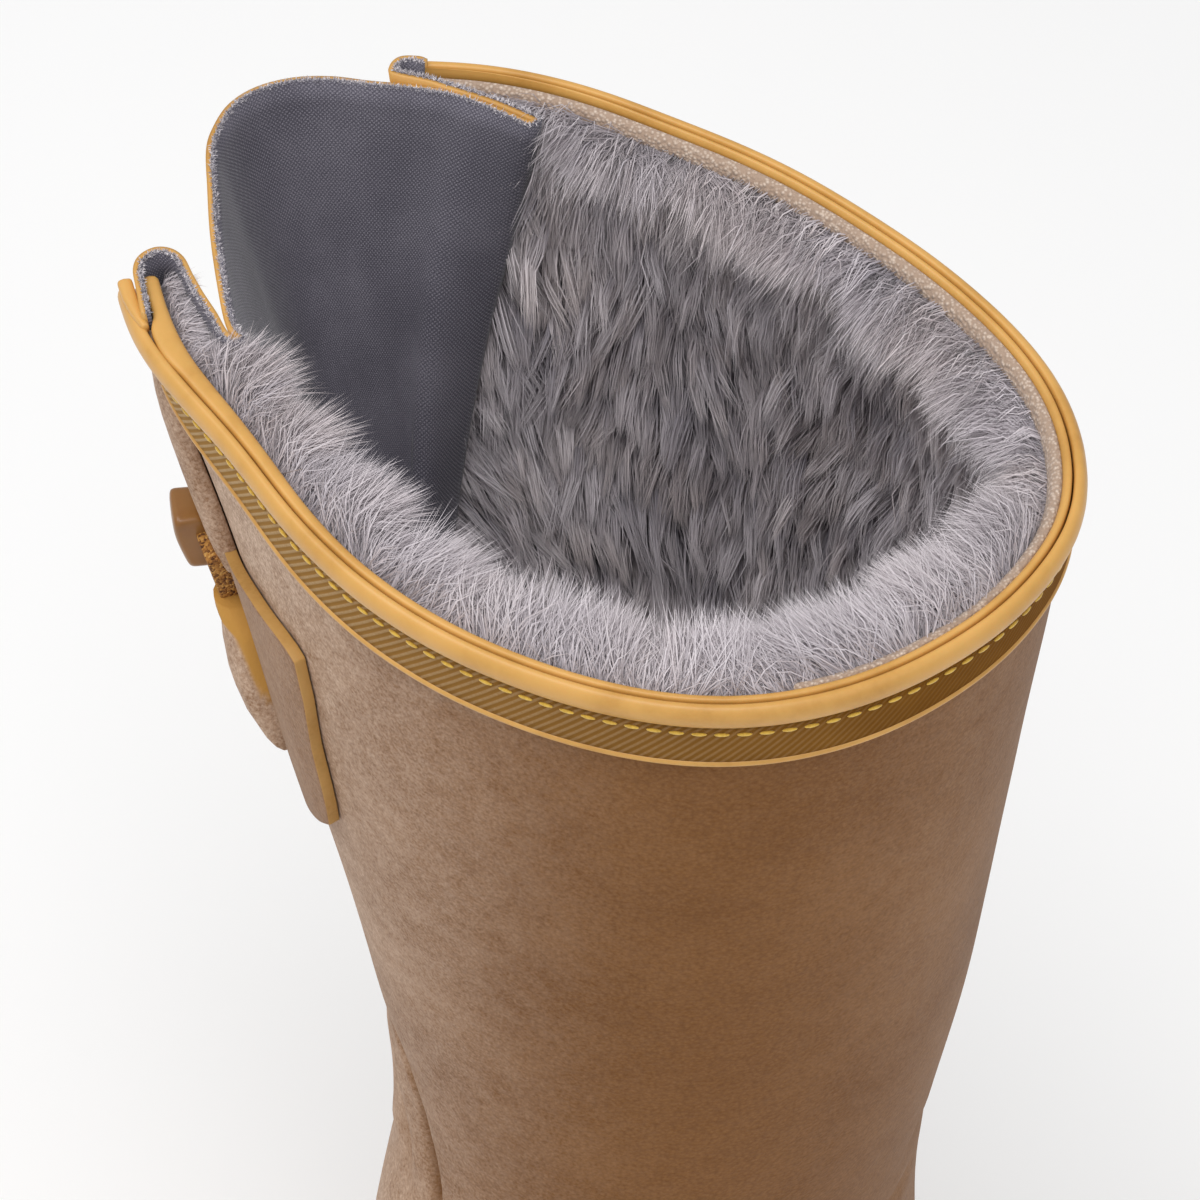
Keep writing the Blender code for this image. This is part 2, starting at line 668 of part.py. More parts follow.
def build_slit_roll(mat):
    """Pleat of rubber folded out of the slit, lying along its front edge."""
    bm = bmesh.new()
    rows = []
    for k, z in enumerate(ROLL["z"]):
        shares = 0.5 - 0.5 * np.cos(np.linspace(0.0, math.pi, ROLL_COLUMNS))
        base, rise = ROLL["base"][k], ROLL["rise"][k]
        stations = []
        for share in shares:
            u = ROLL["from"][k] + (ROLL["to"][k] - ROLL["from"][k]) * share
            bulge = (1.0 - abs(2.0 * share - 1.0) ** 2.6) ** 0.5
            stations.append((u, base, base + 0.6 + (rise - base - 0.6) * bulge))
        rows.append((z, stations))
    lay_on_wall(bm, rows)
    return finish("slit_roll", bm, mat)


# Leaf-shaped keeper on the shield: height and place of its spine, half width
# along the wall and height above the wall.
KEEPER = {
    "z":    (304.0, 300.0, 296.0, 290.0, 284.0, 278.0, 274.0, 271.6),
    "u":    (21.8,  23.2,  24.2,  25.6,  27.8,  31.0,  34.2,  36.6),
    "half": (3.6,   4.8,   5.6,   6.6,   6.8,   6.0,   4.2,   2.2),
    "rise": (6.6,   7.3,   7.8,   8.2,   8.0,   7.0,   5.4,   3.6),
}
KEEPER_COLUMNS = 9
STRAP_LEVEL = 308.0     # height of the strap's middle at the slit
STRAP_HALF = 8.0
STRAP_THICK = 2.0
STRAP_OUT = 5.2         # the strap passes over the roll beside the slit


def build_strap_keeper(mat):
    """Moulded boss on the shield that the strap's end tucks under."""
    bm = bmesh.new()
    rows = []
    base = SEAT + LAID + SHIELD_THICK
    for k, z in enumerate(KEEPER["z"]):
        stations = []
        for share in np.cos(np.linspace(math.pi, 0.0, KEEPER_COLUMNS)):
            bulge = (1.0 - abs(share) ** 2.2) ** 0.5
            top = base + 0.5 + (KEEPER["rise"][k] - base - 0.5) * bulge
            stations.append((KEEPER["u"][k] + KEEPER["half"][k] * share, base, top))
        rows.append((z, stations))
    lay_on_wall(bm, rows)
    return finish("strap_keeper", bm, mat)


STRAP_FRONT = np.linspace(17.6, 0.0, 6)  # places on the wall before the slit
# Distance behind the slit and height above the wall where the strap is sewn down.
STRAP_REAR = ((0.0, 3.4), (5.0, 1.6), (10.0, 0.7), (16.0, 0.5), (24.0, 0.5))
# Share of the way over the slit, and how far the strap bows out over the gusset.
STRAP_BOW = ((0.2, 3.4), (0.5, 5.0), (0.8, 3.4))


def strap_run(z, lift):
    """Plan of one edge of the strap, from the keeper over the slit to the rear."""
    line = wall_line(z)
    front = [on_wall(line, u, STRAP_OUT + lift) for u in STRAP_FRONT]
    rear = [on_wall(line, line[1][-1] - u, out + lift) for u, out in STRAP_REAR]
    out = edge_frame(line, "front")[2] + edge_frame(line, "rear")[2]
    out /= np.linalg.norm(out)
    middle = [front[-1] + (rear[0] - front[-1]) * share + out * bow for share, bow in STRAP_BOW]
    return [(*point, z) for point in front + middle + rear]


def build_strap(mat):
    """Flat strap from the keeper over the slit, sewn to the wall behind it."""
    bm = bmesh.new()
    levels = [STRAP_LEVEL + share * STRAP_HALF for share in (-1.0, 0.0, 1.0)]
    solid_between(bm, [strap_run(z, STRAP_THICK) for z in levels],
                  [strap_run(z, 0.0) for z in levels])
    return finish("strap", bm, mat)


BUCKLE_FROM = 3.0       # reach along the wall from the slit's front edge
BUCKLE_TO = 17.0
BUCKLE_LEVEL = 306.0    # height of its middle
BUCKLE_HALF = 8.6
BUCKLE_RISE = 3.1       # its thickness above the strap
# Share of that thickness from its lower end (-1) to its upper end (+1).
BUCKLE_PROFILE = {
    "place": (-1.0, -0.9, -0.55, 0.0, 0.55, 0.9, 1.0),
    "share": (0.62, 0.85, 1.00, 0.88, 0.58, 0.30, 0.18),
}
BUCKLE_STATIONS = (-1.0, -0.85, -0.4, 0.4, 0.85, 1.0)


def build_buckle(mat):
    """Smooth moulded buckle that sits on the strap beside the slit."""
    bm = bmesh.new()
    rows = []
    base = STRAP_OUT + STRAP_THICK + SEAT
    middle = 0.5 * (BUCKLE_FROM + BUCKLE_TO)
    half = 0.5 * (BUCKLE_TO - BUCKLE_FROM)
    for place, share in zip(BUCKLE_PROFILE["place"], BUCKLE_PROFILE["share"]):
        stations = []
        for along in BUCKLE_STATIONS:
            round_off = 1.0 - 0.5 * abs(along) ** 4
            stations.append((middle + half * along, base, base + BUCKLE_RISE * share * round_off))
        rows.append((BUCKLE_LEVEL + place * BUCKLE_HALF, stations))
    lay_on_wall(bm, rows)
    return finish("buckle", bm, mat)


# ---- gusset -----------------------------------------------------------------
# Plan of the gusset at the rim and at its foot. The folds behind the wall are
# measured from the slit's edge, along the wall and out from it; the panel that
# bows out through the slit is measured along and out from the straight line
# that joins the slit's edges.
GUSSET_FRONT = ((4.0, -10.4), (8.0, -11.2), (13.0, -12.6), (17.6, -14.2), (19.2, -15.8),
                (17.0, -17.2), (10.4, -15.6), (4.7, -13.8))
GUSSET_REAR = ((5.0, -9.8), (9.0, -10.4), (13.5, -11.4), (18.0, -12.6), (20.0, -14.6),
               (18.0, -16.2), (12.5, -14.8), (7.0, -13.4), (2.5, -12.2), (-2.0, -10.4))
GUSSET_PANEL = ((-18.6, -3.1), (-11.4, 4.7), (-5.3, 11.1), (-0.7, 14.1), (5.1, 16.0),
                (11.0, 15.5), (16.0, 11.6), (18.6, 6.0), (20.8, -0.4))
FOOT_FRONT = ((3.0, -10.0), (4.6, -10.2), (6.4, -10.5), (8.2, -10.9), (9.6, -12.2),
              (8.2, -13.6), (5.2, -13.2), (2.4, -12.8))
FOOT_REAR = ((3.0, -10.0), (4.6, -10.2), (6.4, -10.5), (8.2, -10.9), (9.6, -12.2),
             (8.2, -13.6), (6.6, -13.3), (5.0, -13.1), (3.4, -12.9), (1.8, -12.7))
FOOT_PANEL_HALF = 1.6
FOOT_PANEL_DEPTH = -12.6
GUSSET_SHEET = 1.6
GUSSET_FOOT = HEIGHT - SLIT_DEPTH - 7.0
GUSSET_ROWS = 8


def gusset_line(z, share):
    """Plan centre line of the gusset at height z, share 0 at its foot, 1 at the rim."""
    line = wall_line(z)
    ends = {}
    for end, top, foot in (("front", GUSSET_FRONT, FOOT_FRONT), ("rear", GUSSET_REAR, FOOT_REAR)):
        corner, into, out = edge_frame(line, end)
        local = np.array(foot) * (1 - share) + np.array(top) * share
        ends[end] = corner + local[:, :1] * into + local[:, 1:] * out
    front, rear = line[0][0], line[0][-1]
    out = edge_frame(line, "front")[2] + edge_frame(line, "rear")[2]
    out /= np.linalg.norm(out)
    along = np.array([out[1], -out[0]])
    if np.dot(along, rear - front) < 0:
        along = -along
    top = np.array(GUSSET_PANEL)
    foot = np.stack([np.linspace(-FOOT_PANEL_HALF, FOOT_PANEL_HALF, len(top)),
                     np.full(len(top), FOOT_PANEL_DEPTH)], axis=1)
    local = foot * (1 - share) + top * share
    panel = 0.5 * (front + rear) + local[:, :1] * along + local[:, 1:] * out
    return np.concatenate([ends["front"], panel, ends["rear"][::-1]])


def build_gusset(mat):
    """Folded rubber sheet that closes the side slit and lets it spread."""
    bm = bmesh.new()
    outer, inner = [], []
    for share in np.linspace(1.0, 0.0, GUSSET_ROWS):
        z = GUSSET_FOOT + (HEIGHT - GUSSET_FOOT) * share
        path = gusset_line(z, share)
        tangent = np.gradient(path, axis=0)
        tangent /= np.linalg.norm(tangent, axis=1)[:, None]
        normal = np.stack([-tangent[:, 1], tangent[:, 0]], axis=1)
        outer.append([(*(p + n * GUSSET_SHEET / 2), z) for p, n in zip(path, normal)])
        inner.append([(*(p - n * GUSSET_SHEET / 2), z) for p, n in zip(path, normal)])
    solid_between(bm, outer, inner)
    return finish("gusset", bm, mat)


# ---- assembly ---------------------------------------------------------------
def clear_scene():
    """Remove whatever the file holds."""
    for obj in list(bpy.data.objects):
        bpy.data.objects.remove(obj, do_unlink=True)


clear_scene()
TAN_RUBBER = material("tan_rubber", (0.52, 0.33, 0.18), 0.62)
SOLE_RUBBER = material("sole_rubber", (0.40, 0.24, 0.10), 0.70)
GREY_FUR = material("grey_fur", (0.30, 0.29, 0.31), 0.95)
build_outsole(SOLE_RUBBER)
build_upper(TAN_RUBBER)
build_insole(GREY_FUR)
RIM_RUBBER = material("rim_rubber", (0.66, 0.40, 0.12), 0.5)
WOVEN_TAPE = material("woven_tape", (0.30, 0.19, 0.08), 0.85)
CORK_STRAP = material("cork_strap", (0.42, 0.24, 0.10), 0.85)
BUCKLE_PLASTIC = material("buckle_plastic", (0.50, 0.27, 0.09), 0.4)
build_gusset(TAN_RUBBER)
build_rim_roll(RIM_RUBBER)
build_collar_band(WOVEN_TAPE)
build_slit_patch(TAN_RUBBER)
build_slit_roll(TAN_RUBBER)
build_strap_keeper(TAN_RUBBER)
build_strap(CORK_STRAP)
build_buckle(BUCKLE_PLASTIC)
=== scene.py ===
import math

import bmesh
import bpy
import numpy as np
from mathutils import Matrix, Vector, kdtree, noise


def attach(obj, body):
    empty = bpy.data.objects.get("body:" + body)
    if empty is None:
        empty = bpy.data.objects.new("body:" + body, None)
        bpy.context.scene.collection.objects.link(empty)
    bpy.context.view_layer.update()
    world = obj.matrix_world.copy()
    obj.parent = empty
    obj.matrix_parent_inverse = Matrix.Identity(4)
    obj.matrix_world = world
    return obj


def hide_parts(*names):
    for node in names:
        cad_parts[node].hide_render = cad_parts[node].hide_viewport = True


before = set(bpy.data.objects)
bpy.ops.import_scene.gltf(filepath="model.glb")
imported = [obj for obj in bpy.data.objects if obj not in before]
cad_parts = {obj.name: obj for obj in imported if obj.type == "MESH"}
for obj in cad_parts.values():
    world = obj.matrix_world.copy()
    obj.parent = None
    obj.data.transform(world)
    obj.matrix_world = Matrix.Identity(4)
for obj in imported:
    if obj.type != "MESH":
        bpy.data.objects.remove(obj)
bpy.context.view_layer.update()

MM = 0.001

# ---- Rubber upper --------------------------------------------------------------
# Shaft and foot are one skin of natural rubber, about 2 mm thick, built up on a
# last. It is tan with a fine grain and a dusty, whitish bloom, and it is creased
# where the ankle bends. The bloom is laid on thickest towards the lateral side,
# where its lighter colour is partly painted light from the left.
RUBBER_THICK = 1.9 * MM
WALL_TOP = 351.6 * MM
TAN_DEEP = (0.145, 0.053, 0.008, 1)
TAN = (0.215, 0.090, 0.021, 1)
BLOOM_AND_PAINTED_LIGHT = (0.700, 0.530, 0.410, 1)
OCHRE = (0.560, 0.300, 0.075, 1)
# Darker, dust-free tan painted into the crease bottoms as painted shade.
CREASE_SHADE_TAN = (0.215, 0.088, 0.018, 1)


def merged_copy(node):
    """A CAD node's mesh with its loose triangles merged and paired into quads."""
    bm = bmesh.new()
    bm.from_mesh(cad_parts[node].data)
    bmesh.ops.remove_doubles(bm, verts=bm.verts, dist=0.01 * MM)
    bmesh.ops.join_triangles(bm, faces=bm.faces, angle_face_threshold=math.radians(40),
                             angle_shape_threshold=math.radians(60))
    return bm


def keep_shell(bm, start, bend=50.0):
    """Deletes every face that isn't reached from start without turning a corner."""
    shell, open_faces = {start}, [start]
    while open_faces:
        for edge in open_faces.pop().edges:
            for face in edge.link_faces:
                if face not in shell and edge.calc_face_angle(0.0) < math.radians(bend):
                    shell.add(face)
                    open_faces.append(face)
    bmesh.ops.delete(bm, geom=[f for f in bm.faces if f not in shell], context="FACES")


def piece(name, bm, *materials):
    """A named object at the origin from a bmesh whose places are in the boot's frame."""
    mesh = bpy.data.meshes.new(name)
    bm.to_mesh(mesh)
    bm.free()
    for material in materials:
        mesh.materials.append(material)
    mesh.shade_smooth()
    return placed(name, mesh)


def placed(name, data):
    """A new object of the scene, at the origin."""
    obj = bpy.data.objects.new(name, data)
    bpy.context.scene.collection.objects.link(obj)
    return obj


def subsurf(obj, levels):
    modifier = obj.modifiers.new("smooth", "SUBSURF")
    modifier.levels = modifier.render_levels = levels
    modifier.boundary_smooth = "PRESERVE_CORNERS"
    return modifier


def solidify(obj, thickness, offset=-1.0, rim=0, back=0):
    modifier = obj.modifiers.new("thickness", "SOLIDIFY")
    modifier.thickness, modifier.offset = thickness, offset
    modifier.material_offset_rim, modifier.material_offset = rim, back
    return modifier


def bevel(obj, width, segments=2, angle=40.0):
    modifier = obj.modifiers.new("edges", "BEVEL")
    modifier.width, modifier.segments = width, segments
    modifier.limit_method, modifier.angle_limit = "ANGLE", math.radians(angle)
    return modifier


def bake_modifiers(obj):
    """Writes an object's modifiers into its mesh."""
    graph = bpy.context.evaluated_depsgraph_get()
    mesh = bpy.data.meshes.new_from_object(obj.evaluated_get(graph))
    obj.modifiers.clear()
    obj.data = mesh


def new_material(name, roughness, **sockets):
    """A Principled material; returns it with its tree and shader."""
    material = bpy.data.materials.new(name)
    material.use_nodes = True
    tree = material.node_tree
    shader = tree.nodes["Principled BSDF"]
    shader.inputs["Roughness"].default_value = roughness
    for socket, value in sockets.items():
        shader.inputs[socket.replace("_", " ")].default_value = value
    return material, tree, shader


def node(tree, kind, links=(), **settings):
    """Adds a node, sets its properties or sockets, and links (socket, output) pairs."""
    made = tree.nodes.new("ShaderNode" + kind)
    for key, value in settings.items():
        if hasattr(made, key):
            setattr(made, key, value)
        else:
            made.inputs[key.replace("_", " ")].default_value = value
    for socket, output in links:
        tree.links.new(made.inputs[socket], output)
    return made


def ramp(tree, factor, *stops):
    """A colour ramp of (place, colour) stops."""
    made = node(tree, "ValToRGB", [("Fac", factor)])
    elements = made.color_ramp.elements
    while len(elements) < len(stops):
        elements.new(0.5)
    for element, (place, colour) in zip(elements, stops):
        element.position, element.color = place, colour
    return made.outputs["Color"]


def mix(tree, factor, first, second):
    """Mixes two colours, each an output or a constant.

    0, 6 and 7 are the node's sockets for its factor and colours."""
    made = node(tree, "Mix", data_type="RGBA")
    for socket, value in ((0, factor), (6, first), (7, second)):
        if isinstance(value, bpy.types.NodeSocket):
            tree.links.new(made.inputs[socket], value)
        else:
            made.inputs[socket].default_value = value
    return made.outputs[2]


def maths(tree, operation, first, second=0.0, third=0.0):
    """A math node on outputs or numbers."""
    made = node(tree, "Math", operation=operation)
    for socket, value in enumerate((first, second, third)):
        if isinstance(value, bpy.types.NodeSocket):
            tree.links.new(made.inputs[socket], value)
        else:
            made.inputs[socket].default_value = value
    return made.outputs[0]


def dress(tree, shader, colour, height, strength, depth, invert=False):
    """Gives a shader its colour and a bump, depth mm deep, from a height."""
    tree.links.new(shader.inputs["Base Color"], colour)
    bump = node(tree, "Bump", [("Height", height)], Strength=strength, Distance=depth * MM)
    bump.invert = invert
    tree.links.new(shader.inputs["Normal"], bump.outputs[0])


def grain_texture(tree, where, scale, detail=4.0, rough=0.6):
    return node(tree, "TexNoise", [("Vector", where)], Scale=scale, Detail=detail,
                Roughness=rough).outputs["Fac"]


def grey(value):
    return (value, value, value, 1)


def run_along(path):
    """Distance along a path at each of its points."""
    return np.concatenate([[0.0], np.cumsum(np.linalg.norm(np.diff(path, axis=0), axis=1))])


def unit(vectors):
    """Vectors at length one."""
    return vectors / np.linalg.norm(vectors, axis=1)[:, None]


def tan_rubber(name, bloom, clean=None, under=OCHRE):
    """Matt tan rubber with a pebbled grain, its dust thickest on the lateral side, where
    the lighter dust is partly painted light from the left.

    bloom is the share of dust and painted light; clean names an attribute of where the
    rubber takes the colour under instead: bare ochre on the keeper's facet, and darker
    tan as painted shade in the upper's creases."""
    material, tree, shader = new_material(name, 0.62, Sheen_Weight=0.03, Sheen_Roughness=0.5,
                                          Sheen_Tint=(0.95, 0.86, 0.78, 1), Specular_IOR_Level=0.07)
    place = node(tree, "TexCoord").outputs["Object"]
    plan = node(tree, "SeparateXYZ", [("Vector", place)])
    # The dust veil thickens by place towards the lateral side; the light it adds there is partly
    # painted light from the left.
    side = maths(tree, "MULTIPLY_ADD", plan.outputs[0], -3.2, 0.683)
    side = maths(tree, "MULTIPLY_ADD", plan.outputs[1], -2.7, side)
    dust_veil_and_painted_light = ramp(tree, side, (0.20, grey(0.16)), (0.34, grey(0.03)), (0.48, grey(0.02)),
                (0.59, grey(0.24)), (0.70, grey(0.52)), (0.80, grey(0.88)))
    dust_veil_and_painted_light.node.color_ramp.interpolation = "B_SPLINE"
    cloud = grain_texture(tree, place, 24.0, 4.0)
    mottle = grain_texture(tree, place, 230.0, 5.0, 0.7)
    fine = grain_texture(tree, place, 1500.0, 3.0, 0.7)
    pebbles = node(tree, "TexVoronoi", [("Vector", place)], Scale=1150.0).outputs["Distance"]
    pitted = maths(tree, "MULTIPLY_ADD", fine, 0.55, maths(tree, "MULTIPLY", pebbles, -0.35))
    base = ramp(tree, maths(tree, "MULTIPLY_ADD", cloud, 0.6, pitted), (0.22, TAN_DEEP), (0.62, TAN))
    dust = maths(tree, "MULTIPLY_ADD", mottle, 1.5, maths(tree, "MULTIPLY", cloud, 0.9))
    dust = maths(tree, "MULTIPLY_ADD", fine, 2.6, dust)
    dust = maths(tree, "MULTIPLY", dust_veil_and_painted_light, maths(tree, "SUBTRACT", dust, 1.55))
    dust = node(tree, "Clamp", [("Value", maths(tree, "MULTIPLY", dust, bloom))]).outputs[0]
    colour = mix(tree, dust, base, BLOOM_AND_PAINTED_LIGHT)
    if clean:
        bare = node(tree, "Attribute", attribute_name=clean).outputs["Fac"]
        colour = mix(tree, bare, colour, under)
    dress(tree, shader, colour, maths(tree, "MULTIPLY_ADD", pebbles, 0.8, fine), 0.35, 0.22)
    rough = maths(tree, "MULTIPLY_ADD", fine, 0.25, 0.46)
    tree.links.new(shader.inputs["Roughness"], rough)
    return material


# The fold attribute darkens the crease bottoms with a darker tan: painted shade.
upper_rubber = tan_rubber("tan_rubber_with_bloom_painted_light_and_crease_shade", 1.0, "fold", CREASE_SHADE_TAN)
bm = merged_copy("upper")
keep_shell(bm, max(bm.faces, key=lambda f: f.calc_center_median().x))
skin_piece = piece("rubber_upper", bm, upper_rubber)
subsurf(skin_piece, 2)
bake_modifiers(skin_piece)
skin = bmesh.new()
skin.from_mesh(skin_piece.data)
solidify(skin_piece, RUBBER_THICK)
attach(skin_piece, "root")
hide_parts("upper")

# ---- Places on the wall ----------------------------------------------------------
# Trim is laid on the shaft by height, by distance round the wall from the slit's
# front edge, and by how far it stands proud. The wall's plan at a height comes from
# cutting the rubber skin with a level plane.
SLIT_FOOT = 260.0 * MM
LEVEL_STEP = 2.0
lines = {}


def walk(start, edges):
    """Vertices in order along the edges of a cut."""
    path, at, left = [start], start, set(edges)
    while True:
        step = next((e for e in at.link_edges if e in left), None)
        if step is None:
            return path
        left.remove(step)
        at = step.other_vert(at)
        path.append(at)


def wall_line(height):
    """Plan of the wall at a height: places, run, tangents and outward normals."""
    height = min(height, WALL_TOP - 0.05 * MM)
    key = round(height / MM, 2)
    if key in lines:
        return lines[key]
    cut = skin.copy()
    made = bmesh.ops.bisect_plane(cut, geom=[*cut.verts, *cut.edges, *cut.faces], dist=1e-8,
                                  plane_co=(0, 0, height), plane_no=(0, 0, 1))
    edges = [e for e in made["geom_cut"] if isinstance(e, bmesh.types.BMEdge)]
    ends = {}
    for edge in edges:
        for vert in edge.verts:
            ends[vert] = ends.get(vert, 0) + 1
    loose = [v for v, count in ends.items() if count == 1]
    if loose:
        start = min(loose, key=lambda v: v.co.y)
    else:
        foot = wall_line(SLIT_FOOT + 1.5 * MM)[0]
        middle = (foot[0] + foot[-1]) / 2
        start = min(ends, key=lambda v: math.hypot(v.co.x - middle[0], v.co.y - middle[1]))
    path = np.array([v.co[:2] for v in walk(start, edges)])
    cut.free()
    if path[len(path) // 12][1] > path[0][1]:
        path = path[::-1]
    run = run_along(path)
    keep = np.concatenate([[True], np.diff(run) > 1e-6])
    path, run = path[keep], run[keep]
    tangent = np.gradient(path, run, axis=0)
    for _ in range(3):
        tangent[1:-1] = (tangent[:-2] + 2 * tangent[1:-1] + tangent[2:]) / 4
    tangent = unit(tangent)
    normal = np.stack([tangent[:, 1], -tangent[:, 0]], axis=1)
    if np.dot(path[0] - path[len(path) // 2], normal[0]) < 0:
        normal = -normal
    lines[key] = path, run, tangent, normal
    return lines[key]


def level_place(height, along, out):
    """Plan place along a level line of the wall and out from it, in mm."""
    path, run, tangent, normal = wall_line(height)
    held = min(max(along * MM, 0.0), run[-1])
    at, way, off = (np.array([np.interp(held, run, table[:, k]) for k in (0, 1)])
                    for table in (path, tangent, normal))
    return at + way * (along * MM - held) + off * out * MM


def on_wall(height, along, out, z=None):
    """A place along mm round the wall at a height and out mm proud of it.

    z is its own height, where that isn't the height at which the wall's plan is taken."""
    height = min(height, WALL_TOP / MM - 0.05)
    below = math.floor(height / LEVEL_STEP) * LEVEL_STEP
    above = min(below + LEVEL_STEP, WALL_TOP / MM - 0.05)
    share = (height - below) / (above - below)
    low, high = (level_place(level * MM, along, out) for level in (below, above))
    at = (1 - share) * low + share * high
    return Vector((at[0], at[1], (height if z is None else z) * MM))


collar_round = wall_line(WALL_TOP)[1][-1] / MM

# ---- Creases at the ankle ------------------------------------------------------------
# Wear has set one deep crease and two soft ones across the ankle's lateral front, with
# a bulge under them, and shallow folds over the instep, the medial ankle and the heel.
# Height and distance round the wall of each crease's points, depth and half width in mm.
# The mesh is finer near the deep crease, and all of them lie between two heights.
CREASES = (
    (((203, 45), (198, 49.5), (192, 53), (184, 55.5), (175, 56.5), (166, 58.5), (156, 62)), 3.7, 1.3),
    (((198, 38), (184, 41), (172, 44), (160, 48)), 0.9, 3.2),
    (((206, 40), (202, 48), (200, 60)), 0.5, 4.0),
    (((172, 92), (176, 112), (172, 132)), 0.9, 4.5),
    (((160, 96), (163, 114), (159, 134)), 1.1, 4.0),
    (((160, 170), (152, 186), (148, 204)), 1.0, 4.5),
    (((146, 166), (140, 182), (138, 200)), 1.1, 3.8),
    (((164, 262), (158, 284), (162, 306)), 0.8, 5.0),
)
RIDGES = ((((196, 41), (186, 47), (174, 50), (162, 53)), 1.3, 3.4),
          (((192, 24), (182, 30), (170, 34), (158, 40)), 2.0, 8.0))
CREASED = (125.0, 212.0)
FINE_MESH_REACH = 7.0


def crease_points(points):
    """Places every 1.5 mm or so along a crease, with how strong it is there."""
    path = smooth_curve([on_wall(z, along, 0.0) for z, along in points], 16)
    share = np.linspace(0, 1, len(path))
    return path, np.clip(np.minimum(share, 1 - share) * 5.0, 0, 1)


def smooth_curve(points, steps):
    """Curve through points."""
    points = np.asarray(points, float)
    padded = np.concatenate([2 * points[:1] - points[1:2], points, 2 * points[-1:] - points[-2:-1]])
    curve = []
    for a, b, c, d in zip(padded, padded[1:], padded[2:], padded[3:]):
        for t in np.arange(steps) / steps:
            curve.append(0.5 * (2 * b + (c - a) * t + (2 * a - 5 * b + 4 * c - d) * t ** 2
                                + (3 * b - a - 3 * c + d) * t ** 3))
    return np.array(curve + [points[-1]])


def nearest(path, place):
    """The index of a path's nearest point to a place, and how many mm away it is."""
    apart = np.linalg.norm(path - np.array(place), axis=1) / MM
    at = int(np.argmin(apart))
    return at, apart[at]


folds = [(*crease_points(points), -depth, width) for points, depth, width in CREASES]
folds += [(*crease_points(points), depth, width) for points, depth, width in RIDGES]
bm = bmesh.new()
bm.from_mesh(skin_piece.data)
deepest = folds[0][0]
near = [edge for edge in bm.edges
        if nearest(deepest, (edge.verts[0].co + edge.verts[1].co) / 2)[1] < FINE_MESH_REACH]
bmesh.ops.subdivide_edges(bm, edges=near, cuts=2, use_grid_fill=True)
bm.normal_update()
# Crease bottoms get a fold weight by their depth, which the rubber's material paints as a darker tan:
# painted shade in the creases.
crease_shade_layer = bm.verts.layers.float.new("fold")
for vert in bm.verts:
    if not CREASED[0] * MM < vert.co.z < CREASED[1] * MM:
        continue
    push = 0.0
    for path, strength, depth, width in folds:
        at, apart = nearest(path, vert.co)
        swell = strength[at] * math.exp(-((apart / width) ** 2))
        push += depth * swell
        vert[crease_shade_layer] = max(vert[crease_shade_layer], -0.3 * depth * swell)
    vert.co += vert.normal * push * MM
bm.to_mesh(skin_piece.data)
bm.free()
skin_piece.data.shade_smooth()

# ---- Side gusset -------------------------------------------------------------------
# A folded sheet of ochre rubber lined with slate knit jersey closes the slit and lets
# it spread. Its two ends are trapped in the rim, it turns back in a loop at each side,
# and its panel bows out through the slit. The jersey's cut edge is pale and fuzzy.
GUSSET_RUBBER, JERSEY_THICK = 0.9, 0.7
GUSSET_FOOT, GUSSET_TOP = 253.0, 356.2
GUSSET_ROWS, SPAN_STEPS = 26, 5
# Plan at the rim in mm: the two legs by distance behind the slit's edge and out from
# the wall, and the panel along and out from the straight line between the edges.
FRONT_LEG = ((10.1, -0.7), (4.0, -0.9), (-0.3, -1.1), (-3.0, -2.4), (-4.3, -5.0), (-3.4, -7.6),
             (-0.8, -9.3), (3.4, -9.9), (8.0, -10.7), (12.8, -11.8), (17.4, -12.6), (19.2, -13.8))
REAR_LEG = ((1.4, -0.1), (0.1, 0.7), (-2.8, 0.7), (-4.3, -1.2), (-4.0, -3.4), (1.7, -4.9),
            (5.5, -6.4), (11.9, -8.8), (17.6, -11.6), (20.4, -13.4))
PANEL = ((-32.7, -17.7), (-26.5, -10.3), (-18.8, -2.0), (-11.1, 5.4), (-4.6, 11.4), (0.2, 14.1),
         (6.1, 15.7), (12.0, 14.8), (17.6, 11.4), (21.9, 6.5), (25.1, 0.8), (28.6, -4.9),
         (31.6, -10.7), (33.4, -17.0))
LEG_FOOT = ((3.0, -10.0), (8.6, -11.0))
PANEL_FOOT = ((-1.6, -12.8), (1.6, -12.8))


def slit_edge(height, end):
    """Corner, way into the wall and outward normal at the slit's front or rear edge."""
    path, _, tangent, normal = wall_line(round(height / LEVEL_STEP) * LEVEL_STEP * MM)
    if end == "front":
        return path[0], tangent[0], normal[0]
    return path[-1], -tangent[-1], normal[-1]


def towards_foot(plan, foot, share):
    """A plan table drawn in towards its straight foot as share falls from 1 to 0."""
    plan = np.array(plan)
    ends = np.linspace(foot[0], foot[1], len(plan))
    return ends + (plan - ends) * share


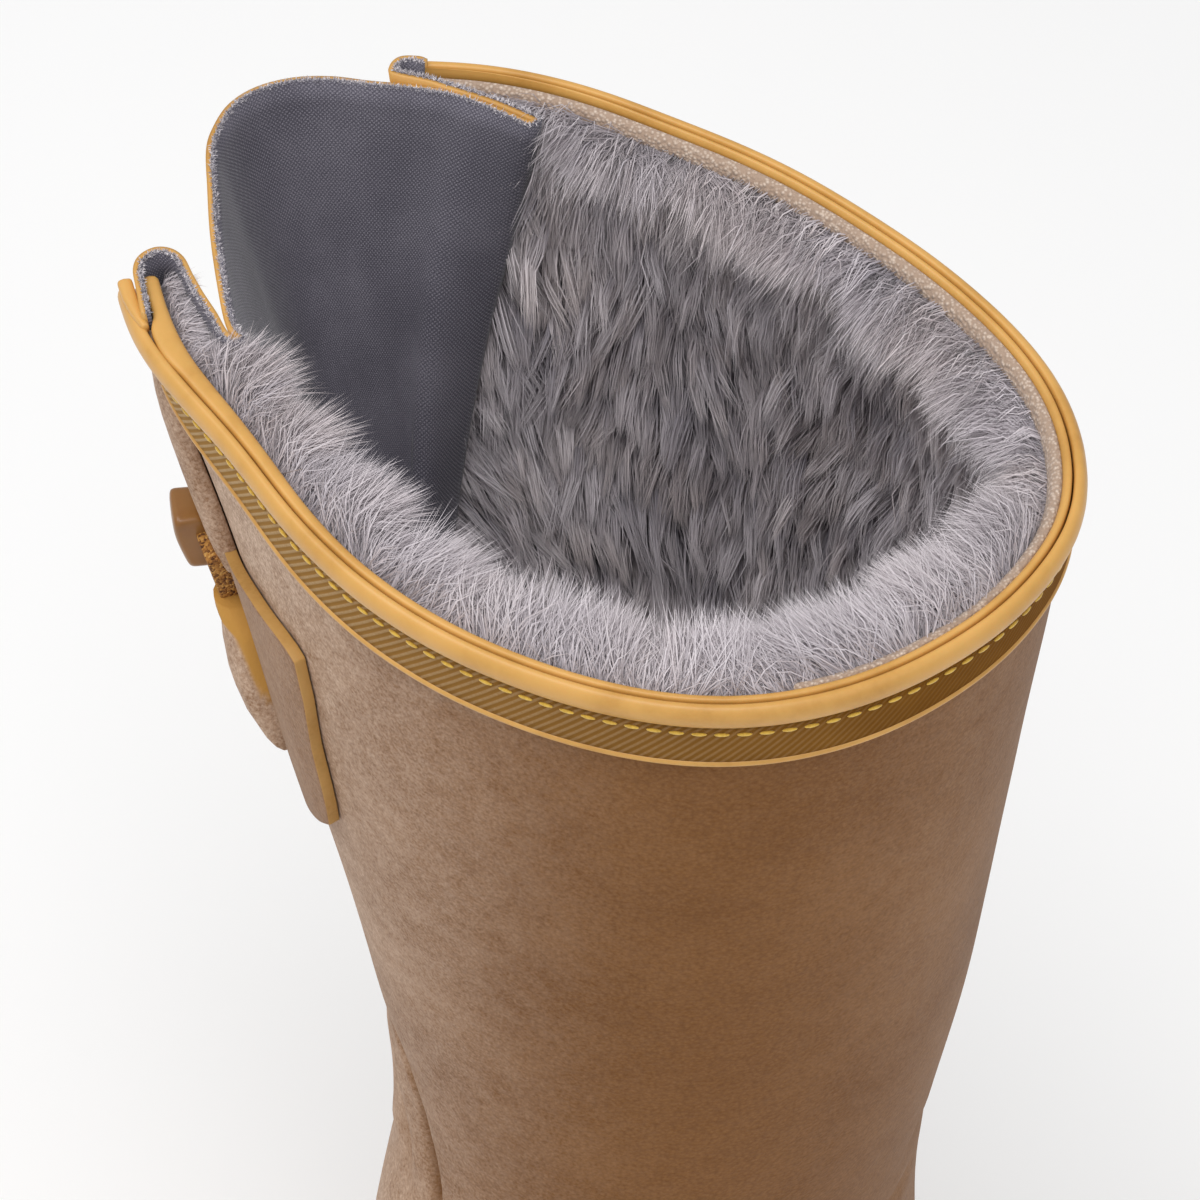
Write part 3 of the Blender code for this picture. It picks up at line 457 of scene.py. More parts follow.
def gusset_plan(height):
    """Plan of the sheet's middle at a height: front leg, panel, rear leg."""
    share = (height - GUSSET_FOOT) / (GUSSET_TOP - GUSSET_FOOT)
    legs = {}
    for end, plan in (("front", FRONT_LEG), ("rear", REAR_LEG)):
        corner, into, out = slit_edge(height, end)
        local = towards_foot(plan, LEG_FOOT, share) * MM
        legs[end] = corner + local[:, :1] * into + local[:, 1:] * out
    front, _, front_out = slit_edge(height, "front")
    rear, _, rear_out = slit_edge(height, "rear")
    out = (front_out + rear_out) / np.linalg.norm(front_out + rear_out)
    along = np.array([-out[1], out[0]])
    if np.dot(along, (rear - front) + np.array([0.0, 1e-4])) < 0:
        along = -along
    local = towards_foot(PANEL, PANEL_FOOT, share) * MM
    panel = (front + rear) / 2 + local[:, :1] * along + local[:, 1:] * out
    curve = smooth_curve(np.concatenate([legs["front"], panel, legs["rear"][::-1]]), SPAN_STEPS)
    way = unit(np.gradient(curve, axis=0))
    inner = np.stack([-way[:, 1], way[:, 0]], axis=1)
    if inner[len(inner) // 2][0] < 0:
        inner = -inner
    places = np.linspace(0, 1, len(curve))
    held = np.clip(np.minimum(places, 1 - places) * 9.0, 0, 1)[:, None]
    return curve + inner * held * GUSSET_RUBBER * MM


def extruded_rows(bm, rows, closed=False):
    """Draws a row of vertices and extrudes it through the other rows' places."""
    verts = [bm.verts.new(place) for place in rows[0]]
    edges = [bm.edges.new(pair) for pair in zip(verts, verts[1:] + (verts[:1] if closed else []))]
    for row in rows[1:]:
        made = bmesh.ops.extrude_edge_only(bm, edges=edges)["geom"]
        edges = [e for e in made if isinstance(e, bmesh.types.BMEdge)
                 and all(v not in verts for v in e.verts)]
        fresh = {v for v in made if isinstance(v, bmesh.types.BMVert)}
        order = {}
        for old in verts:
            order[old] = next(e.other_vert(old) for e in old.link_edges if e.other_vert(old) in fresh)
        verts = [order[old] for old in verts]
        for vert, place in zip(verts, row):
            vert.co = place
    return verts


def unwrap_rows(bm, rows, step=10 * MM):
    """UV map of a drawn sheet: distance along the first row and down the rows, in steps."""
    layer = bm.loops.layers.uv.new("cloth")
    rows = np.array([[tuple(p) for p in row] for row in rows])
    along = run_along(rows[0]) / step
    down = np.concatenate([np.zeros((1, rows.shape[1])),
                           np.cumsum(np.linalg.norm(np.diff(rows, axis=0), axis=2), axis=0)]) / step
    places = {tuple(np.round(rows[j, i], 6)): (along[i], down[j, i])
              for j in range(rows.shape[0]) for i in range(rows.shape[1])}
    for face in bm.faces:
        for loop in face.loops:
            key = tuple(np.round(np.array(loop.vert.co), 6))
            loop[layer].uv = places.get(key, (0.0, 0.0))


def ochre_rubber(name, colour=OCHRE, roughness=0.42, grime=0.35):
    """Bare ochre rubber: satin, faintly cloudy, with fine light specks."""
    material, tree, shader = new_material(name, roughness, Specular_IOR_Level=0.4,
                                          Subsurface_Weight=0.06, Subsurface_Scale=1.5 * MM)
    place = node(tree, "TexCoord").outputs["Object"]
    cloud = grain_texture(tree, place, 60.0, 4.0)
    fine = grain_texture(tree, place, 1300.0, 3.0)
    dark = tuple(c * k for c, k in zip(colour, (0.80, 0.74, 0.62))) + (1,)
    light = tuple(min(c * k, 1) for c, k in zip(colour, (1.10, 1.12, 1.25))) + (1,)
    base = ramp(tree, cloud, (0.30, dark), (0.52, colour), (0.75, light))
    speck = ramp(tree, fine, (0.42, (0, 0, 0, 1)), (0.62, (1, 1, 1, 1)))
    speck = maths(tree, "MULTIPLY", speck, grime * 0.4)
    dress(tree, shader, mix(tree, speck, base, light), fine, 0.12, 0.15)
    return material


JERSEY_DARK, JERSEY, JERSEY_LIGHT = ((0.038, 0.036, 0.048, 1), (0.100, 0.094, 0.118, 1),
                                     (0.250, 0.236, 0.275, 1))


def jersey():
    """Fine warp knit: staggered rows of tiny stitches under a light fuzz."""
    material, tree, shader = new_material("slate_jersey", 0.92, Sheen_Weight=0.30,
                                          Sheen_Roughness=0.4, Specular_IOR_Level=0.10)
    cloth = node(tree, "UVMap", uv_map="cloth").outputs[0]
    turned = node(tree, "Mapping", [("Vector", cloth)], Rotation=(0, 0, 0.80))
    stitches = [node(tree, "TexWave", [("Vector", turned.outputs[0])], wave_type="BANDS",
                     bands_direction=way, Scale=5.4, Distortion=0.5, Detail=1.0).outputs["Fac"]
                for way in ("X", "Y")]
    stitch = maths(tree, "MULTIPLY", *stitches)
    fuzz = grain_texture(tree, cloth, 44.0, 3.0, 0.75)
    wear = grain_texture(tree, cloth, 0.30, 3.0)
    shade = maths(tree, "MULTIPLY_ADD", fuzz, 1.15, maths(tree, "MULTIPLY", stitch, 0.26))
    shade = maths(tree, "MULTIPLY_ADD", wear, 0.40, shade)
    colour = ramp(tree, shade, (0.48, JERSEY_DARK), (0.82, JERSEY), (1.0, JERSEY_LIGHT))
    dress(tree, shader, colour, maths(tree, "MULTIPLY_ADD", fuzz, 0.6, stitch), 0.45, 0.18)
    return material


gusset_heights = np.linspace(GUSSET_TOP, GUSSET_FOOT, GUSSET_ROWS)
gusset_rows = [[Vector((x, y, h * MM)) for x, y in gusset_plan(h)] for h in gusset_heights]
sheets = {}
for name, material, side, thick in (
        ("gusset_rubber", ochre_rubber("gusset_rubber"), 1, GUSSET_RUBBER),
        ("gusset_jersey", jersey(), -1, JERSEY_THICK)):
    bm = bmesh.new()
    extruded_rows(bm, gusset_rows)
    unwrap_rows(bm, gusset_rows)
    panel = min(bm.faces, key=lambda f: f.calc_center_median().x)
    panel.normal_update()
    if panel.normal.x > 0:
        bmesh.ops.reverse_faces(bm, faces=bm.faces)
    sheets[name] = piece(name, bm, material)
    solidify(sheets[name], thick * MM, offset=side)
    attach(sheets[name], "root")
    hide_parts("gusset")

# ---- Rubber rim --------------------------------------------------------------------
# The wall's cut top edge is capped by a folded strip of bare ochre rubber: a bead on the
# outside and a flatter lip inside it, with a fine groove between them. At the slit's
# front corner the lip laps over the bead and traps the gusset's end.
RIM_STATIONS = 190
LIP_WIDTH = ((0, 4.7), (10, 4.4), (22, 3.5), (40, 2.7), (70, 2.0), (130, 1.7), (250, 1.6),
             (325, 1.3), (352, 0.8), (368, 0.5))
LIP_START = ((0, -1.75), (9.5, -1.75), (11.5, -0.2), (18, 0.5), (24, 0.02), (368, 0.02))
LAP_EDGE = ((0, 2.3), (4, 2.2), (8, 1.7), (11.5, 1.1))
BEAD_TOP = ((0, 354.1), (8, 354.2), (24, 355.0), (368, 355.0))


def from_table(table, at):
    keys, values = zip(*table)
    return float(np.interp(at, keys, values))


def close_ends(bm):
    """Caps a swept tube's open ends and turns its faces outwards."""
    bmesh.ops.holes_fill(bm, edges=[e for e in bm.edges if e.is_boundary], sides=0)
    bmesh.ops.recalc_face_normals(bm, faces=bm.faces)


def swept(name, places, profile, material):
    """A closed profile of (out, height) pairs drawn along the wall's top, capped at its ends."""
    bm = bmesh.new()
    rows = [[on_wall(351.6, along, out, z) for out, z in profile(along)] for along in places]
    extruded_rows(bm, rows, closed=True)
    close_ends(bm)
    obj = piece(name, bm, material)
    subsurf(obj, 1)
    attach(obj, "root")
    return obj


def bead_profile(along):
    top = from_table(BEAD_TOP, along)
    return ((0.2, 351.9), (0.16, top - 0.7), (0.5, top - 0.1), (1.2, top), (2.0, top - 0.5),
            (2.5, top - 1.7), (2.55, top - 3.0), (2.1, top - 4.4), (1.3, top - 4.8), (0.7, 350.6))


def lip_profile(along):
    start, end = from_table(LIP_START, along), -from_table(LIP_WIDTH, along)
    return ((start, 351.9), (start, 354.3), (start - 0.25, 354.85), ((start + end) / 2, 354.95),
            (end + 0.3, 354.6), (end, 353.9), (end, 352.6), (end + 0.2, 351.9))


def lap_profile(along):
    edge = from_table(LAP_EDGE, along)
    return ((-0.35, 352.4), (-0.35, 354.4), (-0.1, 354.95), (edge / 2, 355.15), (edge - 0.2, 354.9),
            (edge, 354.2), (edge - 0.1, 353.2), (edge / 2, 352.4))


rim_rubber = ochre_rubber("rim_rubber", colour=(0.590, 0.320, 0.082, 1), roughness=0.38)
bead = swept("rim_bead", np.linspace(0, collar_round, RIM_STATIONS), bead_profile, rim_rubber)
lip = swept("rim_lip", np.linspace(0, collar_round, RIM_STATIONS), lip_profile, rim_rubber)
lap = swept("rim_lap", np.linspace(0, 11.5, 16), lap_profile, rim_rubber)
for strip in (bead, lip, lap):
    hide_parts("rim_roll")

# ---- Woven tape, its stitches and piping -------------------------------------------
# A twill tape lies round the collar under the bead. One row of yellow thread holds it
# and a thin cord of ochre rubber finishes its lower edge. The tape's ribs are worn pale
# near the slit.
TAPE_TOP, TAPE_FOOT, TAPE_THICK = 349.8, 339.6, 0.9
STITCH_PITCH, STITCH_HALF, STITCH_RADIUS, STITCH_HEIGHT = 3.4, 1.25, 0.34, 348.2
STITCH_OUT, STITCH_INSET = 1.45, 1.6
PIPING_HEIGHT, PIPING_OUT, PIPING_RADIUS = 340.0, 0.95, 0.75
TAPE_DARK, TAPE_BROWN, TAPE_PALE = ((0.150, 0.057, 0.005, 1), (0.212, 0.088, 0.010, 1),
                                    (0.540, 0.395, 0.240, 1))
TAPE_RUBBED = (0.360, 0.200, 0.060, 1)
THREAD = (0.780, 0.500, 0.060, 1)


def round_the_wall(height, share, out, z=None):
    """A place at a share of the way round the wall at a height."""
    level = round(height / LEVEL_STEP) * LEVEL_STEP * MM
    return on_wall(height, share * wall_line(level)[1][-1] / MM, out, z)


def twill_tape():
    """Diagonal twill ribs of ochre-brown yarn, dusty near the slit where they are worn."""
    material, tree, shader = new_material("twill_tape", 0.85, Specular_IOR_Level=0.04)
    cloth = node(tree, "UVMap", uv_map="cloth").outputs[0]
    split = node(tree, "SeparateXYZ", [("Vector", cloth)])
    along, down = split.outputs[0], split.outputs[1]
    slant = maths(tree, "MULTIPLY", maths(tree, "ADD", along, down), 6.4)
    rib = maths(tree, "SUBTRACT", maths(tree, "FRACT", slant), 0.5)
    rib = maths(tree, "MULTIPLY", maths(tree, "ABSOLUTE", rib), 2.0)
    fuzz = grain_texture(tree, cloth, 16.0, 4.0, 0.7)
    fade = grain_texture(tree, cloth, 0.8, 2.0)
    near_slit = node(tree, "MapRange", [("Value", along)], From_Min=1.5, From_Max=17.0,
                     To_Min=1.15, To_Max=0.05).outputs[0]
    worn = node(tree, "MapRange", [("Value", rib)], From_Min=0.42, From_Max=0.72).outputs[0]
    worn = maths(tree, "MULTIPLY", worn, near_slit)
    worn = maths(tree, "MULTIPLY", worn, maths(tree, "MULTIPLY_ADD", fuzz, 1.5, 0.0))
    base = ramp(tree, maths(tree, "MULTIPLY_ADD", rib, 0.22, maths(tree, "MULTIPLY", fade, 0.7)),
                (0.28, TAPE_DARK), (0.72, TAPE_BROWN))
    base = mix(tree, maths(tree, "MULTIPLY", near_slit, 0.75), base, TAPE_RUBBED)
    worn = maths(tree, "MULTIPLY", node(tree, "Clamp", [("Value", worn)]).outputs[0], 0.72)
    dress(tree, shader, mix(tree, worn, base, TAPE_PALE),
          maths(tree, "MULTIPLY_ADD", fuzz, 0.5, rib), 0.5, 0.25)
    return material


def thread_material():
    """Waxed yellow thread with a fine twist."""
    material, tree, shader = new_material("yellow_thread", 0.55, Sheen_Weight=0.2)
    place = node(tree, "TexCoord").outputs["Object"]
    twist = grain_texture(tree, place, 1600.0, 2.0)
    colour = ramp(tree, twist, (0.35, (0.60, 0.36, 0.04, 1)), (0.65, THREAD))
    dress(tree, shader, colour, twist, 0.4, 0.1)
    return material


shares = np.linspace(0.0, 1.0, RIM_STATIONS)
tape_rows = [[round_the_wall(h, s, 0.35) for s in shares]
             for h in np.linspace(TAPE_TOP, TAPE_FOOT, 5)]
bm = bmesh.new()
extruded_rows(bm, tape_rows)
unwrap_rows(bm, tape_rows)
bm.normal_update()
widest = max(bm.faces, key=lambda f: f.calc_center_median().x)
if widest.normal.x < 0:
    bmesh.ops.reverse_faces(bm, faces=bm.faces)
tape = piece("woven_tape", bm, twill_tape())
solidify(tape, TAPE_THICK * MM, offset=1)
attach(tape, "root")
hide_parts("collar_band")
tape_round = wall_line(344 * MM)[1][-1]

bm = bmesh.new()
count = int(collar_round / STITCH_PITCH)
for k in range(count):
    along = STITCH_INSET + k * (collar_round - 2 * STITCH_INSET) / (count - 1)
    start, end = (on_wall(STITCH_HEIGHT, along + d, STITCH_OUT) for d in (-0.5, 0.5))
    way = (end - start).normalized()
    out = way.cross(Vector((0, 0, 1)))
    made = bmesh.ops.create_uvsphere(bm, u_segments=6, v_segments=5, radius=STITCH_RADIUS * MM)
    turn = way.to_track_quat("Z", "Y").to_matrix()
    for vert in made["verts"]:
        stretched = Vector((vert.co.x, vert.co.y, vert.co.z * STITCH_HALF / STITCH_RADIUS))
        vert.co = turn @ stretched + (start + end) / 2
stitches = piece("yellow_stitches", bm, thread_material())
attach(stitches, "root")

turns = np.linspace(0, 2 * math.pi, 8, endpoint=False)
bm = bmesh.new()
extruded_rows(bm, [[round_the_wall(PIPING_HEIGHT, share, PIPING_OUT + PIPING_RADIUS * math.cos(turn),
                                   PIPING_HEIGHT + PIPING_RADIUS * math.sin(turn)) for turn in turns]
                   for share in shares], closed=True)
close_ends(bm)
piping = piece("tape_piping", bm, rim_rubber)
subsurf(piping, 1)
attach(piping, "root")

# ---- Shield, roll, keeper, strap and buckle -----------------------------------------
# Beside the slit lie a rubber shield with a bare ochre cut edge, the rolled front pleat
# of the gusset, and a leaf-shaped keeper. The short cork-grained strap passes from the
# keeper over the slit, with a smooth moulded buckle on it.
SHIELD_THICK = 2.2
SHIELD_TOP = ((2.0, 305.0), (12.0, 306.4), (23.5, 309.8), (37.2, 314.6), (49.2, 317.5),
              (53.6, 317.8), (55.9, 316.9))
SHIELD_SIDE = ((55.9, 316.9), (57.1, 307.5), (56.9, 294.8), (58.0, 284.3), (58.2, 279.0),
               (57.9, 274.4))
SHIELD_FOOT = ((2.0, 252.0), (14.0, 252.0), (24.0, 252.4), (34.0, 255.6), (45.0, 262.4),
               (53.0, 269.2), (57.9, 274.4))
# The leaf's ridge by height, and the bare facet in front of it up to how far it is proud.
KEEPER_RIDGE = ((271.6, 276.0, 284.0, 288.0, 296.0, 300.0, 304.0),
                (34.1, 30.9, 27.8, 25.7, 24.1, 23.3, 15.0))
KEEPER_FACET = ((280.0, 282.0, 284.0, 288.7, 293.7, 296.0, 299.0),
                (2.0, 3.4, 4.2, 5.4, 6.5, 7.5, 9.0))
# How far the leaf sinks by how proud it is and by height, and what it loses above a height.
KEEPER_SEATED, KEEPER_THINNED = ((3.0, 4.2), (1.2, 0.0)), ((283.0, 293.0), (0.0, 1.3))
KEEPER_TOP, KEEPER_LOWERED = 293.5, 0.7
# How far the strap sinks, and its share of the solid's width, by distance round the wall.
STRAP_SUNK = (-14.0, -6.0, 4.0, 12.0, 16.0), (0.0, 2.3, 3.2, 2.4, 0.8)
STRAP_NARROWER = (-6.0, 4.0, 9.0), (0.78, 0.50, 0.42)
STRAP_FOOT, STRAP_RAISED = 298.0, 0.5
STRAP_DRAWN_FROM, STRAP_DRAWN = 9.0, 0.7
# The buckle's middle and half sizes: along, height and out. Its outer top is bowed in.
BUCKLE_MIDDLE, BUCKLE_HALF = (13.6, 304.8, 7.0), (3.9, 6.9, 3.1)
BUCKLE_SQUARENESS, BUCKLE_BOW = 12, 1.0
# Roll beside the slit: height, reach along the wall, and rise above the wall.
ROLL = ((341.0, 1.0, 13.2, 1.5), (338.5, 1.0, 13.8, 2.6), (335.0, 1.0, 14.7, 3.4),
        (331.0, 1.5, 16.2, 4.0), (326.0, 2.5, 18.0, 4.4), (321.0, 4.5, 20.0, 4.6),
        (316.0, 8.0, 22.1, 4.6), (311.0, 13.0, 23.6, 4.4), (307.5, 17.4, 24.4, 4.0),
        (304.5, 21.0, 24.9, 3.2))
ROLL_THICK, STRAP_END_THICK = 1.2, 4.0
# The shaft's middle in plan; what is laid on the wall faces away from it.
SHAFT_MIDDLE = Vector((4.6, 68.5, 0))


def along_curve(points, share):
    """Place at a share of a polyline's length."""
    points = np.asarray(points, float)
    run = run_along(points)
    return np.array([np.interp(share * run[-1], run, points[:, k]) for k in (0, 1)])


def laid_grid(name, columns, rows, place, *materials):
    """A grid laid on the wall; place gives along, height and out for shares of the grid."""
    bm = bmesh.new()
    grid = [[on_wall(height, along, out)
             for along, height, out in (place(c, r) for c in np.linspace(0, 1, columns))]
            for r in np.linspace(0, 1, rows)]
    extruded_rows(bm, grid)
    bm.normal_update()
    face = next(iter(bm.faces))
    away = face.calc_center_median() - SHAFT_MIDDLE * MM
    if face.normal.x * away.x + face.normal.y * away.y < 0:
        bmesh.ops.reverse_faces(bm, faces=bm.faces)
    return piece(name, bm, *materials)


def shield_place(c, r):
    """Coons patch between the shield's four edges."""
    left_top, left_foot = np.array(SHIELD_TOP[0]), np.array(SHIELD_FOOT[0])
    right_top, right_foot = np.array(SHIELD_SIDE[0]), np.array(SHIELD_SIDE[-1])
    top, foot = along_curve(SHIELD_TOP, c), along_curve(SHIELD_FOOT, c)
    left, right = left_top + (left_foot - left_top) * r, along_curve(SHIELD_SIDE, r)
    corner = ((1 - c) * (1 - r) * left_top + c * (1 - r) * right_top
              + (1 - c) * r * left_foot + c * r * right_foot)
    place = (1 - r) * top + r * foot + (1 - c) * left + c * right - corner
    return place[0], place[1], 0.25


cut_edge = ochre_rubber("cut_edge_rubber", colour=(0.430, 0.235, 0.062, 1), roughness=0.6, grime=1.0)
# Trim and shield rubber carry the same lateral dust, partly painted light from the left.
trim_rubber = tan_rubber("trim_rubber_with_bloom_and_painted_light", 0.62)
shield_rubber = tan_rubber("shield_rubber_with_bloom_and_painted_light", 0.40)
shield = laid_grid("shield", 40, 44, shield_place, shield_rubber, cut_edge)
solidify(shield, SHIELD_THICK * MM, offset=1, rim=1)
bevel(shield, 0.25 * MM)
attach(shield, "root")
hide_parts("slit_patch")


def roll_place(c, r):
    """Place on the roll: an arch over the wall, drawn down through the table's rows."""
    rows = np.arange(len(ROLL))
    height, start, end, rise = (float(np.interp(r * rows[-1], rows, column)) for column in zip(*ROLL))
    turn = math.pi * c
    middle, half = (start + end) / 2, (end - start) / 2
    lift = 0.2 + (rise - 0.2) * abs(math.sin(turn)) ** 0.75
    return middle - half * math.cos(turn), height, lift


roll = laid_grid("gusset_roll", 22, 60, roll_place, trim_rubber)
solidify(roll, ROLL_THICK * MM, offset=-1)
subsurf(roll, 1)
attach(roll, "root")
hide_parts("slit_roll")


def beside_wall(place):
    """How far round the wall a place is, how far proud, in mm, and the way out there."""
    path, run, _, normal = wall_line(round(place.z / MM / LEVEL_STEP) * LEVEL_STEP * MM)
    near = int(np.argmin(np.hypot(path[:, 0] - place.x, path[:, 1] - place.y)))
    out = Vector((*normal[near], 0))
    return run[near] / MM, (place - Vector((*path[near], place.z))).dot(out) / MM, out


def softened_copy(node_name, name, material, soft):
    """A CAD solid's copy with its edges rounded by soft mm."""
    obj = piece(name, merged_copy(node_name), material)
    bevel(obj, soft * MM, 3, 35.0)
    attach(obj, "root")
    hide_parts(node_name)
    return obj


def cork_grain():
    """Strap of cork-grained rubber: orange and dark brown granules."""
    material, tree, shader = new_material("cork_grained_strap", 0.8)
    place = node(tree, "TexCoord").outputs["Object"]
    grains = node(tree, "TexVoronoi", [("Vector", place)], Scale=2100.0)
    shade = node(tree, "SeparateColor", [("Color", grains.outputs["Color"])]).outputs[0]
    colour = ramp(tree, shade, (0.0, (0.09, 0.028, 0.004, 1)), (0.35, (0.27, 0.105, 0.018, 1)),
                  (0.75, (0.46, 0.21, 0.040, 1)), (1.0, (0.60, 0.33, 0.09, 1)))
    dress(tree, shader, colour, grains.outputs["Distance"], 0.9, 0.4, invert=True)
    return material


# The keeper carries the same lateral dust, partly painted light from the left.
keeper_rubber_with_painted_light = tan_rubber("keeper_rubber_with_painted_light", 0.7, "bare", (0.480, 0.250, 0.060, 1))
keeper = softened_copy("strap_keeper", "strap_keeper_leaf", keeper_rubber_with_painted_light, 0.5)
subsurf(keeper, 2).subdivision_type = "SIMPLE"
bake_modifiers(keeper)
bare = keeper.data.attributes.new("bare", "FLOAT", "POINT")
for vert, value in zip(keeper.data.vertices, bare.data):
    height = vert.co.z / MM
    round_at, proud, out = beside_wall(vert.co)
    facet = (float(np.interp(height, *KEEPER_FACET)) - proud) / 0.7 + 0.5
    value.value = min(max(facet, 0.0), 1.0) * (round_at > np.interp(height, *KEEPER_RIDGE))
    sunk = np.interp(proud, *KEEPER_SEATED) + np.interp(height, *KEEPER_THINNED)
    vert.co -= out * float(sunk) * MM
    vert.co.z -= max(height - KEEPER_TOP, 0.0) * KEEPER_LOWERED * MM
cork = cork_grain()
strap = softened_copy("strap", "cork_strap", cork, 0.4)
for vert in strap.data.vertices:
    round_at, proud, out = beside_wall(vert.co)
    round_at -= collar_round * (round_at > collar_round / 2)
    if round_at > STRAP_DRAWN_FROM:
        along = STRAP_DRAWN_FROM + STRAP_DRAWN * (round_at - STRAP_DRAWN_FROM)
        vert.co = on_wall(vert.co.z / MM, along, proud)
    vert.co -= out * float(np.interp(round_at, *STRAP_SUNK)) * MM
    above = (vert.co.z / MM - STRAP_FOOT) * float(np.interp(round_at, *STRAP_NARROWER))
    vert.co.z = (STRAP_FOOT + STRAP_RAISED + above) * MM
buckle_plastic = ochre_rubber("buckle_moulding", colour=(0.265, 0.122, 0.034, 1),
                              roughness=0.30, grime=0.2)
bm = bmesh.new()
bmesh.ops.create_cube(bm, size=2.0)
bmesh.ops.subdivide_edges(bm, edges=bm.edges[:], cuts=7, use_grid_fill=True)
for vert in bm.verts:
    blunt = sum(abs(c) ** BUCKLE_SQUARENESS for c in vert.co) ** (1 / BUCKLE_SQUARENESS)
    along, height, out = (m + h * c / blunt for m, h, c in zip(BUCKLE_MIDDLE, BUCKLE_HALF, vert.co))
    bow = BUCKLE_BOW * max((height - BUCKLE_MIDDLE[1]) / BUCKLE_HALF[1], 0.0) ** 2
    vert.co = on_wall(height, along, out - bow * (vert.co.z > 0))
bmesh.ops.recalc_face_normals(bm, faces=bm.faces)
buckle = piece("buckle_moulding", bm, buckle_plastic)
subsurf(buckle, 1)
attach(buckle, "root")
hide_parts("buckle")


def strap_end_place(c, r):
    """Front end of the strap, run down from the buckle to under the leaf."""
    along = 15.5 + 7.5 * c
    middle, half = 302.0 - 0.5 * c, 6.3 - 0.6 * c
    return along, middle + half * (1 - 2 * r), 6.6 - 0.8 * c


strap_end = laid_grid("cork_strap_end", 16, 12, strap_end_place, cork)
solidify(strap_end, STRAP_END_THICK * MM, offset=-1)
bevel(strap_end, 0.4 * MM)
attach(strap_end, "root")

# ---- Fur lining ----------------------------------------------------------------------
# The shaft and foot are lined with long grey pile on a pale knitted backing. The pile is
# about 13 mm long. It is combed down the shaft in pointed locks with light tips over dark
# depths, the dark partly painted shade along each strand, and at the collar it stands up
# in a short, soft fringe.
PILE_LENGTH = 13.0
STRAND_WIDTH = 0.24
BACKING_THICK = 0.6
WALL_THICK, FOOT_THINNER = 5.3, 2.0
# The backing lies further in behind the deep crease, between two heights.
BEHIND_CREASE, CREASE_CLEARANCE, SET_BACK = 3.0, 6.0, (145.0, 215.0)
LOCK_SPACING = 4.6
UPRIGHT_FROM, UPRIGHT_AT = 332, 352
STRANDS_A_PIECE = 44000
FUR_PIECES = 4
FUR_ROOT_AND_PAINTED_SHADE, FUR_DEPTH_AND_PAINTED_SHADE, FUR_BODY, FUR_TIP = ((0.150, 0.134, 0.146, 1), (0.345, 0.318, 0.356, 1),
                                          (0.565, 0.517, 0.548, 1), (0.780, 0.725, 0.750, 1))
FUR_WARM = (0.640, 0.530, 0.480, 1)
KNIT_PALE, KNIT_BEIGE = (0.700, 0.580, 0.480, 1), (0.380, 0.270, 0.200, 1)
# Behind the gusset's legs the wall is bare of pile: reach from the slit's two edges by height.
BARE_FRONT = ((262.0, 352.0), (2.0, 19.0))
BARE_REAR = ((262.0, 273.0, 335.0, 354.0), (2.0, 5.0, 22.0, 23.5))


def backing_knit():
    """Pale beige knit at the collar; below it, grey pile roots in the pile's dark colours, which are
    partly painted shade.
    """
    material, tree, shader = new_material("fur_backing_knit", 0.9, Sheen_Weight=0.2)
    place = node(tree, "TexCoord").outputs["Object"]
    loops = node(tree, "TexVoronoi", [("Vector", place)], Scale=1500.0).outputs["Distance"]
    fuzz = grain_texture(tree, place, 900.0, 4.0, 0.7)
    height = node(tree, "SeparateXYZ", [("Vector", place)]).outputs[2]
    high = node(tree, "MapRange", [("Value", height)], From_Min=0.346, From_Max=0.350).outputs[0]
    shade = maths(tree, "MULTIPLY_ADD", loops, 0.9, fuzz)
    knit = ramp(tree, shade, (0.45, KNIT_PALE), (1.0, KNIT_BEIGE))
    # Below the collar the backing is painted in the pile's dark root colours: painted shade under the
    # strands.
    pile = ramp(tree, fuzz, (0.3, FUR_ROOT_AND_PAINTED_SHADE), (0.75, FUR_DEPTH_AND_PAINTED_SHADE))
    dress(tree, shader, mix(tree, high, pile, knit), loops, 0.8, 0.4, invert=True)
    return material


def fur_material():
    """Soft grey pile: dark at the root, partly painted shade of the pile's depths, light at the tip,
    each lock with its own tone.
    """
    material, tree, shader = new_material("grey_pile", 0.62, Sheen_Weight=0.4, Sheen_Roughness=0.4,
                                          Specular_IOR_Level=0.25)
    along = node(tree, "Attribute", attribute_name="along").outputs["Fac"]
    tone = node(tree, "Attribute", attribute_name="tone").outputs["Fac"]
    warm = node(tree, "Attribute", attribute_name="warm").outputs["Fac"]
    place = node(tree, "TexCoord").outputs["Object"]
    fine = grain_texture(tree, place, 1800.0, 2.0)
    # Darker towards the root: partly the pile's own colour, partly painted shade deep in the pile.
    shade = maths(tree, "MULTIPLY_ADD", tone, 0.42, maths(tree, "MULTIPLY", along, 0.62))
    shade = maths(tree, "MULTIPLY_ADD", fine, 0.12, maths(tree, "SUBTRACT", shade, 0.06))
    colour = ramp(tree, shade, (0.0, FUR_ROOT_AND_PAINTED_SHADE), (0.28, FUR_DEPTH_AND_PAINTED_SHADE), (0.62, FUR_BODY), (1.0, FUR_TIP))
    warmth = maths(tree, "MULTIPLY", warm, maths(tree, "MULTIPLY", along, 0.5))
    tree.links.new(shader.inputs["Base Color"], mix(tree, warmth, colour, FUR_WARM))
    return material


